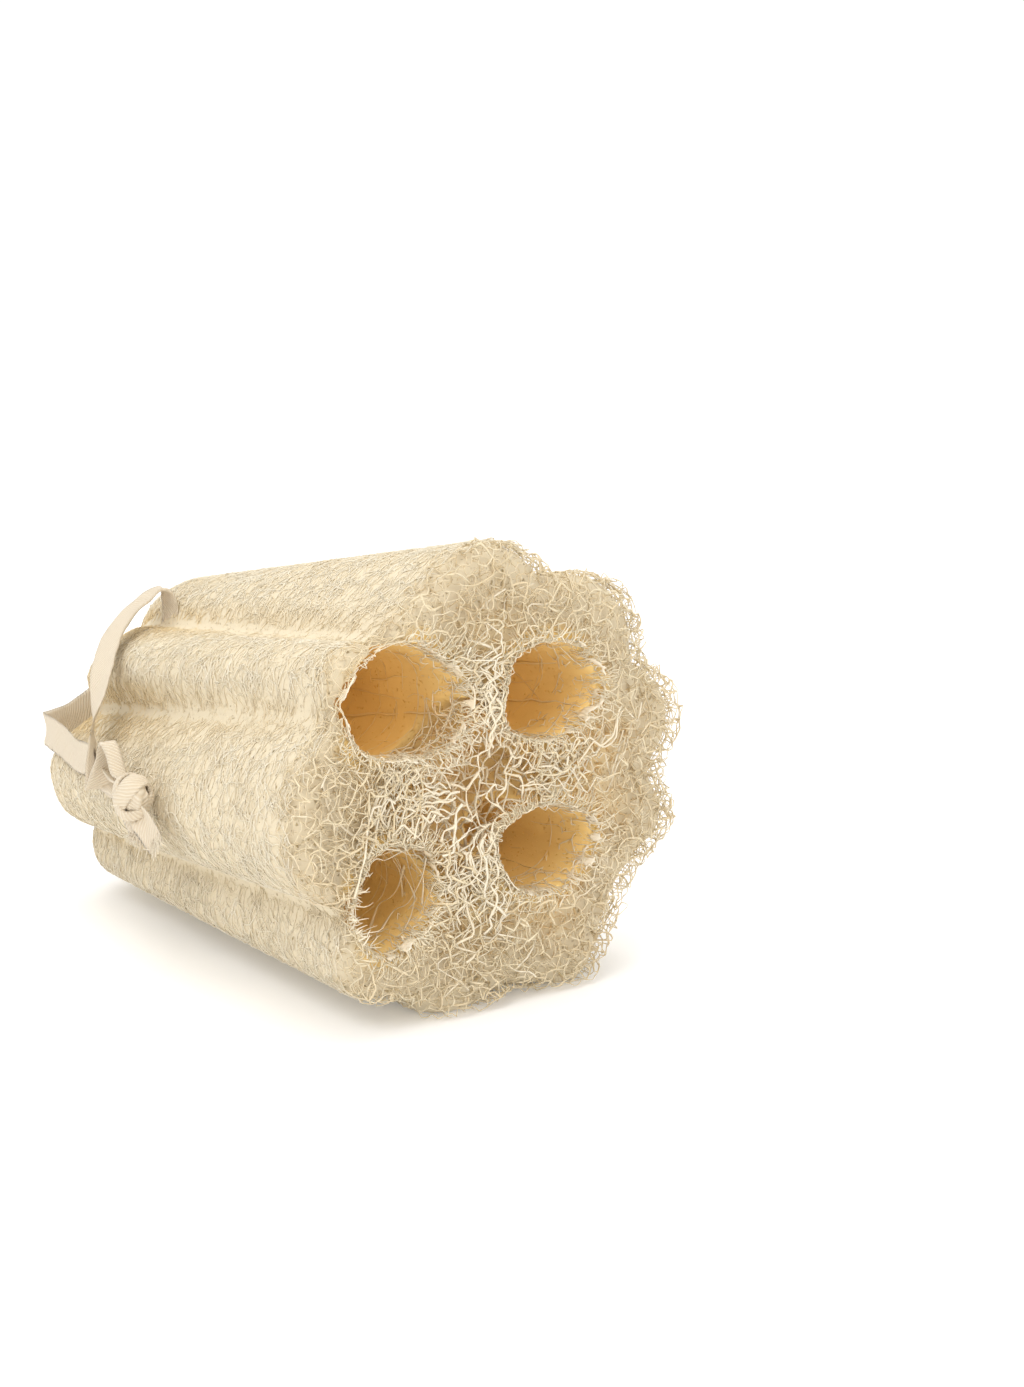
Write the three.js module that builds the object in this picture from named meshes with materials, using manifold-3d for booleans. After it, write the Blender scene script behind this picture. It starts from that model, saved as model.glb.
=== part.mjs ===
// Natural loofah sponge lying on its side, with a cotton tape threaded through its far end as a hanger.
// Millimetres, +Z up, length along Y. The cut face with the open seed channels looks towards -Y.

import * as THREE from 'three';
import { mergeVertices } from 'three/addons/utils/BufferGeometryUtils.js';
import Module from 'manifold-3d';

const wasm = await Module();
wasm.setup();

const LENGTH = 152;
const FRONT = -LENGTH / 2;
const BACK = LENGTH / 2;

// From the axis to the bottom of the lengthwise grooves, and the height of the axis over the floor.
const GROOVE_RADIUS = { front: 49, back: 35 };
const AXIS_HEIGHT = { front: 51.5, back: 40 };
const TWIST = -2;

// Lengthwise lobes: degrees round the axis from +X, rise over the grooves at each end, spread in degrees.
const LOBES = [
  { at: 94, front: 10, back: 7, spread: 22 },
  { at: 50, front: 8.5, back: 8, spread: 17 },
  { at: 14, front: 8, back: 8, spread: 14 },
  { at: 343, front: 7, back: 7, spread: 10 },
  { at: 297, front: 10, back: 11, spread: 13 },
  { at: 254, front: 7, back: 8, spread: 13 },
  { at: 226, front: 9.5, back: 9.5, spread: 12 },
  { at: 203, front: 0, back: 4, spread: 8 },
  { at: 188, front: 8.5, back: 9.5, spread: 17 },
  { at: 168, front: 5, back: -4, spread: 11 },
  { at: 142, front: 8.5, back: 3, spread: 13 },
];

// Narrow creases between the lobes: degrees at each end, depth at each end, spread in degrees.
const CREASES = [
  { from: 131, to: 113, front: 2.5, back: 3, spread: 5 },
  { from: 152, to: 159, front: 2.5, back: 4.2, spread: 6 },
  { from: 206, to: 217, front: 3.5, back: 4.5, spread: 5.5 },
  { from: 73, to: 73, front: 2.5, back: 2.5, spread: 5 },
  { from: 31, to: 31, front: 2.5, back: 2.5, spread: 5 },
  { from: 358, to: 358, front: 2.5, back: 2.5, spread: 5 },
];

// How far in from each cut the rim is rounded, and the share of the radius that it loses there.
const FRONT_RIM = { depth: 6, loss: 0.11 };
const BACK_RIM = { depth: 20, loss: 0.24 };

// Seed channels: middle from the axis and half sizes across and up, at the front and at the back cut.
const CHANNELS = [
  { front: { x: -27.5, z: 24, w: 17, h: 13.5 }, back: { x: -17, z: 16, w: 10, h: 8.5 } },
  { front: { x: 13.5, z: 22, w: 15.5, h: 11.5 }, back: { x: 12, z: 14, w: 10, h: 8 } },
  { front: { x: -31, z: -20, w: 11.5, h: 13 }, back: { x: -17.5, z: -14, w: 8.5, h: 8.5 } },
  { front: { x: 12.5, z: -15.5, w: 14.5, h: 11.5 }, back: { x: 11, z: -12.5, w: 9.5, h: 8 } },
];
const CHANNEL_SIDES = 16;
const CHANNEL_RINGS = 9;
const CHANNEL_WOBBLE = 0.7;

// Raised net of the skin: mesh columns round the body and how far strands and pits leave the plain form.
const COLUMNS = 64;
const SIDE_STEP = 5.5;
const STRAND_RISE = 1.3;
const PIT_FALL = 1.7;
const CUT_RISE = 1.8;

// Open heart between the channels: a hollow in the cut face, bridged by strands of the inner net.
const HEART = { x: -8, z: 2, across: 23, up: 21, deep: 12 };
const HEART_PITCH = 9.2;
const HEART_STRAND = 1.15;
const HEART_LAYERS = [1.6, 7];

// Cotton tape: width and thickness, the slit it goes through near the far end, and its knot.
const TAPE = { width: 8, thick: 0.8 };
const SLIT = { x: -15.6, y: 50, z: 76, width: 9.6, thick: 2.4, deep: 26, lean: 4 };
const KNOT = { x: -57, y: -2, z: 44.8, out: 4.4, along: 6.4, up: 5.6 };

// Route of the tape from the knot up to the slit, through the wall, out of the far end, round the rim
// and back along the side into the knot. Each step has a place and the way the flat face looks.
const TAPE_ROUTE = [
  { at: [-55.6, 0, 45.2], face: [-0.9, 0.4, 0] },
  { at: [-54.6, 6, 47.8], face: [-0.6, 0.7, 0.3] },
  { at: [-53.8, 12, 55], face: [-0.5, 0.4, -0.7] },
  { at: [-54.2, 15, 49.5], face: [-0.5, -0.85, 0] },
  { at: [-54.8, 18, 42.8], face: [-0.4, 0, -0.9] },
  { at: [-52.8, 24, 47.5], face: [-0.5, 0.85, 0] },
  { at: [-48.6, 32, 53.5], face: [-0.8, 0.55, 0] },
  { at: [-43.8, 38, 59.8], face: [-0.95, 0.1, 0.2] },
  { at: [-39.4, 43.5, 67], face: [-0.85, -0.2, 0.5] },
  { at: [-32.4, 51, 73.6], face: [-0.7, 0, 0.7] },
  { at: [-25.8, 54.6, 78.2], face: [-0.55, 0.1, 0.83] },
  { at: [-20.8, 52.6, 82.6], face: [-0.5, 0.05, 0.86] },
  { at: [-16.8, 50.6, 84.8], face: [0.3, 0, 0.95] },
  { at: [-15.1, 50, 80], face: [1, 0, 0] },
  { at: [-15.9, 50, 72], face: [1, 0, 0] },
  { at: [-16.4, 50, 67.5], face: [1, 0, 0] },
  { at: [-15.6, 51.5, 62], face: [0.7, -0.7, 0] },
  { at: [-14, 57, 57.5], face: [0.2, -0.7, -0.7] },
  { at: [-13.2, 64, 56.5], face: [0, 0, -1] },
  { at: [-13.2, 71, 56.2], face: [0, 0.5, -0.86] },
  { at: [-15, 78.6, 54.4], face: [0.5, 0.85, -0.2] },
  { at: [-18.6, 82, 51.4], face: [0.3, 0.95, 0] },
  { at: [-27.4, 83.2, 46.4], face: [0, 1, 0] },
  { at: [-36.4, 79, 45.8], face: [-0.6, 0.8, 0] },
  { at: [-42.4, 70.5, 47.4], face: [-1, 0.2, 0] },
  { at: [-44.8, 62, 47.6], face: [-1, -0.1, 0.1] },
  { at: [-46.4, 52, 47.2], face: [-1, 0, 0.1] },
  { at: [-47.9, 43, 46], face: [-1, 0.1, 0] },
  { at: [-49.4, 34, 46.5], face: [-1, 0.15, 0] },
  { at: [-51.4, 23, 46], face: [-1, 0.2, 0] },
  { at: [-54.4, 10, 45.4], face: [-1, 0.15, 0] },
  { at: [-56, -2, 44.8], face: [-1, 0, 0] },
];
const TAPE_SPANS = [0, 0.45, 1];
const SPAN_STEPS = [34, 44];

// The two cut ends of the tape that hang from the knot.
const TAPE_ENDS = [
  [
    { at: [-56.6, -3, 43.8], face: [-1, -0.2, 0.1] },
    { at: [-56.8, -7, 39.8], face: [-0.95, -0.3, 0] },
    { at: [-56, -11, 34.8], face: [-0.95, -0.2, -0.2] },
  ],
  [
    { at: [-56.6, -1, 43.8], face: [-1, 0, 0.1] },
    { at: [-57, -1.5, 39.3], face: [-1, 0.1, 0.1] },
    { at: [-56.4, -2.5, 34.3], face: [-1, 0.1, -0.2] },
  ],
];

const COLOURS = { sponge: 0xd8c69a, tape: 0xe6d5bb };

const mix = THREE.MathUtils.lerp;

// Seeded draws, so that every build is alike.
function makeRandom(seed) {
  let state = seed;
  return () => {
    state = (state * 1664525 + 1013904223) % 4294967296;
    return state / 4294967296;
  };
}

function share(y) {
  return (y - FRONT) / LENGTH;
}

function axisHeight(y) {
  return mix(AXIS_HEIGHT.front, AXIS_HEIGHT.back, share(y));
}

// What is left of the radius at y after the rounding of both rims.
function rimShare(y) {
  const lossAt = (rim, distance) => {
    const left = 1 - THREE.MathUtils.clamp(distance / rim.depth, 0, 1);
    return 1 - rim.loss * (1 - Math.sqrt(1 - left * left));
  };
  return lossAt(FRONT_RIM, y - FRONT) * lossAt(BACK_RIM, BACK - y);
}

// Bell-shaped share, 1 at the given angle and falling off over the spread.
function bell(degrees, at, spread) {
  const turn = THREE.MathUtils.euclideanModulo(degrees - at + 180, 360) - 180;
  return Math.exp(-((turn / spread) ** 2));
}

function outerRadius(degrees, y) {
  const t = share(y);
  let radius = mix(GROOVE_RADIUS.front, GROOVE_RADIUS.back, t);
  for (const lobe of LOBES) {
    radius += mix(lobe.front, lobe.back, t) * bell(degrees, lobe.at + TWIST * t, lobe.spread);
  }
  for (const crease of CREASES) {
    const at = mix(crease.from, crease.to, t);
    radius -= mix(crease.front, crease.back, t) * bell(degrees, at, crease.spread);
  }
  return radius * rimShare(y);
}

// Joins corners by place and drops slivers without area, so that a closed shell becomes a solid.
function solid(geometry) {
  const plain = geometry.clone();
  plain.deleteAttribute('normal');
  plain.deleteAttribute('uv');
  const merged = mergeVertices(plain, 1e-4);
  const corners = [];
  const index = merged.index.array;
  for (let i = 0; i < index.length; i += 3) {
    const [a, b, c] = [index[i], index[i + 1], index[i + 2]];
    if (a !== b && b !== c && c !== a) {
      corners.push(a, b, c);
    }
  }
  const mesh = new wasm.Mesh({
    numProp: 3,
    vertProperties: new Float32Array(merged.attributes.position.array),
    triVerts: new Uint32Array(corners),
  });
  return new wasm.Manifold(mesh);
}

// Moves every corner of a geometry by a rule that gets its old place and its number.
function reshape(geometry, rule) {
  const place = geometry.attributes.position;
  const from = new THREE.Vector3();
  for (let i = 0; i < place.count; i += 1) {
    const to = rule(from.fromBufferAttribute(place, i), i);
    place.setXYZ(i, to.x, to.y, to.z);
  }
  return geometry;
}

// Rows of the skin from the middle of the front cut to the middle of the back cut.
function skinRows() {
  const rows = [];
  for (const part of [0, 0.16, 0.31, 0.45, 0.59, 0.73, 0.87]) {
    rows.push({ part, y: FRONT, cut: -1 });
  }
  for (const inset of [0, 1, 3]) {
    rows.push({ part: 1, y: FRONT + inset, cut: 0 });
  }
  const first = FRONT + FRONT_RIM.depth;
  const last = BACK - BACK_RIM.depth;
  const steps = Math.round((last - first) / SIDE_STEP);
  for (let i = 0; i <= steps; i += 1) {
    rows.push({ part: 1, y: mix(first, last, i / steps), cut: 0 });
  }
  for (const inset of [14, 9, 5, 2, 0]) {
    rows.push({ part: 1, y: BACK - inset, cut: 0 });
  }
  for (const part of [0.85, 0.68, 0.5, 0.3, 0]) {
    rows.push({ part, y: BACK, cut: 1 });
  }
  return rows;
}

// Strands stand up and pits lie deep in alternate places, like a wide-meshed net drawn over the form.
function netHeights(rowCount, random) {
  const heights = [];
  for (let column = 0; column < COLUMNS; column += 1) {
    heights.push([]);
    for (let row = 0; row < rowCount; row += 1) {
      const pit = column % 4 === (row % 2) * 2;
      heights[column].push(pit ? -PIT_FALL * (0.6 + 0.4 * random()) : STRAND_RISE * (0.3 + 0.7 * random()));
    }
  }
  return heights;
}

function makeSkin(random) {
  const rows = skinRows();
  const profile = rows.map((row) => new THREE.Vector2(row.part, row.y));
  const heights = netHeights(rows.length, random);
  const skin = new THREE.LatheGeometry(profile, COLUMNS);
  return reshape(skin, (_, number) => {
    const row = rows[number % rows.length];
    const column = Math.floor(number / rows.length) % COLUMNS;
    const angle = Math.PI / 2 - (2 * Math.PI * column) / COLUMNS;
    const middle = row.part === 0;
    const height = middle ? 0 : heights[column][number % rows.length];
    const raise = row.cut === 0 ? height : 0;
    const radius = middle ? 0 : row.part * outerRadius(THREE.MathUtils.radToDeg(angle), row.y) + raise;
    return new THREE.Vector3(
      radius * Math.cos(angle),
      row.y + row.cut * height * CUT_RISE * row.part,
      axisHeight(row.y) + radius * Math.sin(angle),
    );
  });
}

function channelAt(channel, y) {
  const t = share(y);
  return {
    x: mix(channel.front.x, channel.back.x, t),
    z: axisHeight(y) + mix(channel.front.z, channel.back.z, t),
    w: mix(channel.front.w, channel.back.w, t),
    h: mix(channel.front.h, channel.back.h, t),
  };
}

function makeChannel(channel, random) {
  const tube = new THREE.CylinderGeometry(1, 1, LENGTH + 16, CHANNEL_SIDES, CHANNEL_RINGS);
  const wobble = new Map();
  return reshape(tube, (from) => {
    const section = channelAt(channel, from.y);
    const key = `${from.toArray().map((value) => Math.round(value * 1000))}`;
    if (!wobble.has(key)) {
      wobble.set(key, CHANNEL_WOBBLE * (random() - 0.5));
    }
    const out = wobble.get(key);
    return new THREE.Vector3(
      section.x + from.x * (section.w + out),
      from.y,
      section.z + from.z * (section.h + out),
    );
  });
}

function makeHeartHollow() {
  const hollow = new THREE.SphereGeometry(1, 20, 12);
  hollow.scale(HEART.across, HEART.deep, HEART.up);
  hollow.translate(HEART.x, FRONT - 1, axisHeight(FRONT) + HEART.z);
  return hollow;
}

// True where a point of the cut face lies in the mouth of a channel.
function inMouth(x, z, y) {
  return CHANNELS.some((channel) => {
    const mouth = channelAt(channel, y);
    return Math.hypot((x - mouth.x) / mouth.w, (z - mouth.z) / mouth.h) < 1.04;
  });
}

function makeStrand(from, to, radius) {
  const axis = to.clone().sub(from);
  const strand = new THREE.CylinderGeometry(radius, radius, axis.length(), 3);
  strand.applyQuaternion(
    new THREE.Quaternion().setFromUnitVectors(new THREE.Vector3(0, 1, 0), axis.clone().normalize()),
  );
  strand.translate((from.x + to.x) / 2, (from.y + to.y) / 2, (from.z + to.z) / 2);
  return strand;
}

// Strands of the inner net: knots on an uneven triangular grid, each joined to its near neighbours.
function makeHeartStrands(random) {
  const knots = [];
  const middle = axisHeight(FRONT) + HEART.z;
  HEART_LAYERS.forEach((depth, layer) => {
    for (let row = -4; row <= 4; row += 1) {
      for (let column = -4; column <= 4; column += 1) {
        const across = HEART_PITCH * (column + 0.5 * Math.abs((row + layer) % 2) + 0.5 * (random() - 0.5));
        const up = HEART_PITCH * (0.87 * row + 0.5 * (random() - 0.5));
        const spot = Math.hypot(across / (HEART.across + 3), up / (HEART.up + 3));
        const y = FRONT + depth + 2 * (random() - 0.5);
        if (spot < 1 && !inMouth(HEART.x + across, middle + up, y)) {
          knots.push(new THREE.Vector3(HEART.x + across, y, middle + up));
        }
      }
    }
  });
  const strands = [];
  knots.forEach((knot, i) => {
    knots.slice(i + 1).forEach((other) => {
      const half = knot.clone().lerp(other, 0.5);
      const reach = HEART_PITCH * (Math.abs(knot.y - other.y) < 2.5 ? 1.15 : 0.8);
      if (knot.distanceTo(other) < reach && !inMouth(half.x, half.z, half.y)) {
        strands.push(makeStrand(knot, other, HEART_STRAND * (0.8 + 0.4 * random())));
      }
    });
  });
  return strands;
}

function makeSlit() {
  const slit = new THREE.BoxGeometry(SLIT.thick, SLIT.width, SLIT.deep);
  slit.rotateY(THREE.MathUtils.degToRad(SLIT.lean));
  slit.translate(SLIT.x, SLIT.y, SLIT.z);
  return slit;
}

function makeFloorCut() {
  const below = new THREE.BoxGeometry(LENGTH * 2, LENGTH * 2, LENGTH);
  below.translate(0, 0, -LENGTH / 2);
  return below;
}

// The largest of the bodies, without loose scraps.
function keepBody(joined) {
  return joined.decompose().reduce((best, next) => (next.volume() > best.volume() ? next : best));
}

// A route whose flat face is turned by hand at each step.
class TapeRoute extends THREE.CatmullRomCurve3 {
  constructor(steps) {
    super(steps.map((step) => new THREE.Vector3(...step.at)), false, 'centripetal');
    this.faces = steps.map((step) => new THREE.Vector3(...step.face));
  }

  frameAt(u) {
    const t = this.getUtoTmapping(u);
    const spot = t * (this.faces.length - 1);
    const low = Math.min(Math.floor(spot), this.faces.length - 2);
    const tangent = this.getTangent(t);
    const normal = this.faces[low].clone().lerp(this.faces[low + 1], spot - low);
    normal.addScaledVector(tangent, -normal.dot(tangent)).normalize();
    return { tangent, normal, binormal: new THREE.Vector3().crossVectors(tangent, normal) };
  }
}

// A stretch of a route, so that a long tape is laid in pieces that meet face to face.
class TapeSpan extends THREE.Curve {
  constructor(route, from, to) {
    super();
    this.route = route;
    this.from = from;
    this.to = to;
  }

  getPoint(t) {
    return this.route.getPointAt(mix(this.from, this.to, t));
  }

  getPointAt(u) {
    return this.getPoint(u);
  }

  computeFrenetFrames(segments) {
    const frames = { tangents: [], normals: [], binormals: [] };
    for (let i = 0; i <= segments; i += 1) {
      const frame = this.route.frameAt(mix(this.from, this.to, i / segments));
      frames.tangents.push(frame.tangent);
      frames.normals.push(frame.normal);
      frames.binormals.push(frame.binormal);
    }
    return frames;
  }
}

function makeTape(extrudePath, steps) {
  const [x, y] = [TAPE.thick / 2, TAPE.width / 2];
  const corners = [[-x, -y], [x, -y], [x, y], [-x, y]];
  const section = new THREE.Shape(corners.map((corner) => new THREE.Vector2(...corner)));
  return new THREE.ExtrudeGeometry(section, { steps, extrudePath, bevelEnabled: false });
}

function makeKnot() {
  const knot = new THREE.SphereGeometry(1, 12, 8);
  knot.scale(KNOT.out, KNOT.along, KNOT.up);
  knot.translate(KNOT.x, KNOT.y, KNOT.z);
  return knot;
}

function toGeometry(body) {
  const { vertProperties, triVerts } = body.getMesh();
  const geometry = new THREE.BufferGeometry();
  geometry.setAttribute('position', new THREE.BufferAttribute(new Float32Array(vertProperties), 3));
  geometry.setIndex(new THREE.BufferAttribute(new Uint32Array(triVerts), 1));
  geometry.computeVertexNormals();
  return geometry;
}

function toMesh(name, body, color, roughness) {
  const material = new THREE.MeshStandardMaterial({ color, roughness, metalness: 0 });
  const mesh = new THREE.Mesh(toGeometry(body), material);
  mesh.name = name;
  return mesh;
}

function makeSponge() {
  const random = makeRandom(11);
  let body = solid(makeSkin(random));
  body = body.subtract(solid(makeHeartHollow()));
  for (const channel of CHANNELS) {
    body = body.subtract(solid(makeChannel(channel, random)));
  }
  for (const strand of makeHeartStrands(random)) {
    body = body.add(solid(strand));
  }
  body = body.subtract(solid(makeSlit())).subtract(solid(makeFloorCut()));
  return keepBody(body);
}

function makeHanger() {
  const route = new TapeRoute(TAPE_ROUTE);
  let hanger = solid(makeKnot());
  SPAN_STEPS.forEach((steps, i) => {
    hanger = hanger.add(solid(makeTape(new TapeSpan(route, TAPE_SPANS[i], TAPE_SPANS[i + 1]), steps)));
  });
  for (const end of TAPE_ENDS) {
    hanger = hanger.add(solid(makeTape(new TapeSpan(new TapeRoute(end), 0, 1), 5)));
  }
  return keepBody(hanger);
}

// The sponge stands over the middle of the frame.
const sponge = makeSponge();
const box = sponge.boundingBox();
const toMiddle = [-(box.min[0] + box.max[0]) / 2, -(box.min[1] + box.max[1]) / 2, 0];

const loofah = new THREE.Group();
loofah.name = 'natural_loofah_sponge';
loofah.add(toMesh('loofah_body', sponge.translate(toMiddle), COLOURS.sponge, 0.9));
loofah.add(toMesh('hanging_tape', makeHanger().translate(toMiddle), COLOURS.tape, 0.85));

export default loofah;
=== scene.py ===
"""Natural loofah sponge with a knotted cotton hanging tape: fibres, finishes and studio."""

import logging
import math
from collections.abc import Callable
from dataclasses import dataclass, field
from enum import Enum

import bmesh
import bpy
import numpy as np
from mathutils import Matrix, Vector, kdtree, noise


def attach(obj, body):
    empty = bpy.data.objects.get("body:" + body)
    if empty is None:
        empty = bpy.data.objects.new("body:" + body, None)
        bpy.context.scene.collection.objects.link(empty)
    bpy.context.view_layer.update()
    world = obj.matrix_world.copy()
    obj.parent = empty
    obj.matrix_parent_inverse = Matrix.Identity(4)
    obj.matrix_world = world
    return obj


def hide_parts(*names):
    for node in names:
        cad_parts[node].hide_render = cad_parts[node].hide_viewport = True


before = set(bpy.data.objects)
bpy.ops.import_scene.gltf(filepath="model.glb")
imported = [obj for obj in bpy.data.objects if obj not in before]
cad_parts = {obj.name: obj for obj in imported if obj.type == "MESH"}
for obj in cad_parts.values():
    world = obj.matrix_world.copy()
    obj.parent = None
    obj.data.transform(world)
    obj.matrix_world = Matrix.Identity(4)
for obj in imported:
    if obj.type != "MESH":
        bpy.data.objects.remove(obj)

LOG = logging.getLogger("loofah")
MM = 0.001
# Attribute that holds painted amber shade, which stands in for shade and for light through the fibres
# deep in hollows.
AMBER_SHADE = "amber_shade"
Array = np.ndarray
Triple = tuple[float, float, float]


class Slot(Enum):
    """Material slots of the record."""

    FIBRE = "loofah_fibre"
    TAPE = "cotton_tape"


class Node(Enum):
    """Nodes of the construction model that pieces stand for."""

    BODY = "loofah_body"
    TAPE = "hanging_tape"


def mix(low: float, high: float, share: Array | float) -> Array | float:
    """Blends two values.

    Args:
        low: Value at share 0.
        high: Value at share 1.
        share: Blend share.

    Returns:
        The blended value or values.
    """
    return low + (high - low) * share


def smooth_step(low: float, high: float, value: Array) -> Array:
    """Eases from 0 at low to 1 at high.

    Args:
        low: Value that gives 0.
        high: Value that gives 1.
        value: Values to ease.

    Returns:
        Eased shares.
    """
    share = np.clip((value - low) / (high - low), 0.0, 1.0)
    return share * share * (3.0 - 2.0 * share)


def catmull_rom(points: Array, per_step: int) -> Array:
    """Runs a smooth line through points.

    Args:
        points: Places that the line goes through, one a row.
        per_step: Samples from one place to the next.

    Returns:
        Samples along the line, both ends among them.
    """
    padded = np.vstack([2 * points[0] - points[1], points, 2 * points[-1] - points[-2]])
    t = np.linspace(0.0, 1.0, per_step, endpoint=False)[None, :, None]
    p0, p1, p2, p3 = (padded[i : len(padded) - 3 + i, None, :] for i in range(4))
    line = 0.5 * (
        2 * p1
        + (p2 - p0) * t
        + (2 * p0 - 5 * p1 + 4 * p2 - p3) * t**2
        + (3 * p1 - p0 - 3 * p2 + p3) * t**3
    )
    return np.vstack([line.reshape(-1, points.shape[1]), points[-1:]])


@dataclass(frozen=True)
class Lobe:
    """Lengthwise lobe: degrees round the axis, rise at each end and spread."""

    at: float
    front: float
    back: float
    spread: float


@dataclass(frozen=True)
class Crease:
    """Narrow crease between lobes: degrees at each end, depth at each end and spread."""

    start: float
    stop: float
    front: float
    back: float
    spread: float


@dataclass(frozen=True)
class Section:
    """Oval of a seed channel: middle from the axis and half sizes."""

    x: float
    z: float
    w: float
    h: float


@dataclass(frozen=True)
class Channel:
    """Seed channel from the front cut to the back cut."""

    front: Section
    back: Section


@dataclass(frozen=True)
class LoofahForm:
    """Plain form of the sponge, in millimetres, as in the construction model."""

    length: float = 152.0
    groove: tuple[float, float] = (49.0, 35.0)
    height: tuple[float, float] = (51.5, 40.0)
    twist: float = -2.0
    front_rim: tuple[float, float] = (6.0, 0.11)
    back_rim: tuple[float, float] = (20.0, 0.24)
    shift: float = 0.853
    lobes: tuple[Lobe, ...] = (
        Lobe(94, 10, 7, 22),
        Lobe(50, 8.5, 8, 17),
        Lobe(14, 8, 8, 14),
        Lobe(343, 7, 7, 10),
        Lobe(297, 10, 11, 13),
        Lobe(254, 7, 8, 13),
        Lobe(226, 9.5, 9.5, 12),
        Lobe(203, 0, 4, 8),
        Lobe(188, 8.5, 9.5, 17),
        Lobe(168, 5, -4, 11),
        Lobe(142, 8.5, 3, 13),
    )
    creases: tuple[Crease, ...] = (
        Crease(131, 113, 2.5, 3, 5),
        Crease(152, 159, 2.5, 4.2, 6),
        Crease(206, 217, 3.5, 4.5, 5.5),
        Crease(73, 73, 2.5, 2.5, 5),
        Crease(31, 31, 2.5, 2.5, 5),
        Crease(358, 358, 2.5, 2.5, 5),
    )
    channels: tuple[Channel, ...] = (
        Channel(Section(-27.5, 24, 17, 13.5), Section(-17, 16, 10, 8.5)),
        Channel(Section(13.5, 22, 15.5, 11.5), Section(12, 14, 10, 8)),
        Channel(Section(-31, -20, 11.5, 13), Section(-17.5, -14, 8.5, 8.5)),
        Channel(Section(12.5, -15.5, 14.5, 11.5), Section(11, -12.5, 9.5, 8)),
    )
    heart: Section = Section(-8, 2, 23, 21)

    @property
    def front(self) -> float:
        """Place of the front cut along the length."""
        return -self.length / 2

    @property
    def back(self) -> float:
        """Place of the back cut along the length."""
        return self.length / 2

    def share(self, y: Array) -> Array:
        """Share of the length, 0 at the front cut.

        Args:
            y: Places along the length.

        Returns:
            Shares.
        """
        return (y - self.front) / self.length

    def axis(self, y: Array) -> Array:
        """Height of the axis.

        Args:
            y: Places along the length.

        Returns:
            Heights over the floor.
        """
        return mix(*self.height, self.share(y))

    def _rim(self, rim: tuple[float, float], distance: Array) -> Array:
        """Share of the radius left where the rim is rounded.

        Args:
            rim: Reach of the rounding and share lost at the cut.
            distance: Distances from the cut.

        Returns:
            Shares.
        """
        left = 1.0 - np.clip(distance / rim[0], 0.0, 1.0)
        return 1.0 - rim[1] * (1.0 - np.sqrt(1.0 - left * left))

    def rise(self, degrees: Array, y: Array) -> Array:
        """Rise of the lobes over the grooves, less the creases.

        Args:
            degrees: Angles round the axis.
            y: Places along the length.

        Returns:
            Rises.
        """
        t = self.share(y)
        total = np.zeros(np.broadcast(degrees, y).shape)
        for lobe in self.lobes:
            turn = (degrees - lobe.at - self.twist * t + 180.0) % 360.0 - 180.0
            total = total + mix(lobe.front, lobe.back, t) * np.exp(-((turn / lobe.spread) ** 2))
        for crease in self.creases:
            turn = (degrees - mix(crease.start, crease.stop, t) + 180.0) % 360.0 - 180.0
            total = total - mix(crease.front, crease.back, t) * np.exp(-((turn / crease.spread) ** 2))
        return total

    def outer(self, degrees: Array, y: Array) -> Array:
        """Radius of the skin.

        Args:
            degrees: Angles round the axis.
            y: Places along the length.

        Returns:
            Radii.
        """
        radius = mix(*self.groove, self.share(y)) + self.rise(degrees, y)
        radius = radius * self._rim(self.front_rim, y - self.front)
        return radius * self._rim(self.back_rim, self.back - y)

    def skin(self, degrees: Array, y: Array, lift: Array) -> Array:
        """Places on or over the skin.

        Args:
            degrees: Angles round the axis.
            y: Places along the length.
            lift: Heights over the skin.

        Returns:
            Places, one a row.
        """
        radius = self.outer(degrees, y) + lift
        angle = np.radians(degrees)
        x = self.shift + radius * np.cos(angle)
        return np.stack([x, y, self.axis(y) + radius * np.sin(angle)], -1)

    def section(self, index: int, y: Array) -> tuple[Array, Array, Array, Array]:
        """Oval of a channel at places along the length.

        Args:
            index: Number of the channel.
            y: Places along the length.

        Returns:
            Middle across, middle height, half width and half height.
        """
        a, b, t = self.channels[index].front, self.channels[index].back, self.share(y)
        middle = self.shift + mix(a.x, b.x, t)
        return middle, self.axis(y) + mix(a.z, b.z, t), mix(a.w, b.w, t), mix(a.h, b.h, t)

    def wall(self, index: int, degrees: Array, y: Array, lift: Array) -> Array:
        """Places on the wall of a channel.

        Args:
            index: Number of the channel.
            degrees: Angles round the channel.
            y: Places along the length.
            lift: Heights over the wall, towards the middle of the channel.

        Returns:
            Places, one a row.
        """
        x, z, w, h = self.section(index, y)
        angle = np.radians(degrees)
        swell = self.uneven(index, angle, y)
        across, up = (w * swell - lift) * np.cos(angle), (h * swell - lift) * np.sin(angle)
        return np.stack([x + across, y, z + up], -1)

    def uneven(self, index: int, angle: Array, y: Array) -> Array:
        """Share by which a channel's wall swells or narrows.

        Args:
            index: Number of the channel.
            angle: Angles round the channel in radians.
            y: Places along the length.

        Returns:
            Shares of the plain oval.
        """
        swell = 0.05 * np.sin(2.0 * angle + 1.7 * index + 0.04 * y)
        swell = swell + 0.04 * np.sin(3.0 * angle - 0.9 * index + 0.06 * y + 1.0)
        swell = swell + 0.025 * np.sin(5.0 * angle + 2.1 * index - 0.09 * y)
        return 1.0 + swell + 0.09 * np.exp(-np.maximum(y - self.front, 0.0) / 3.5)

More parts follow.
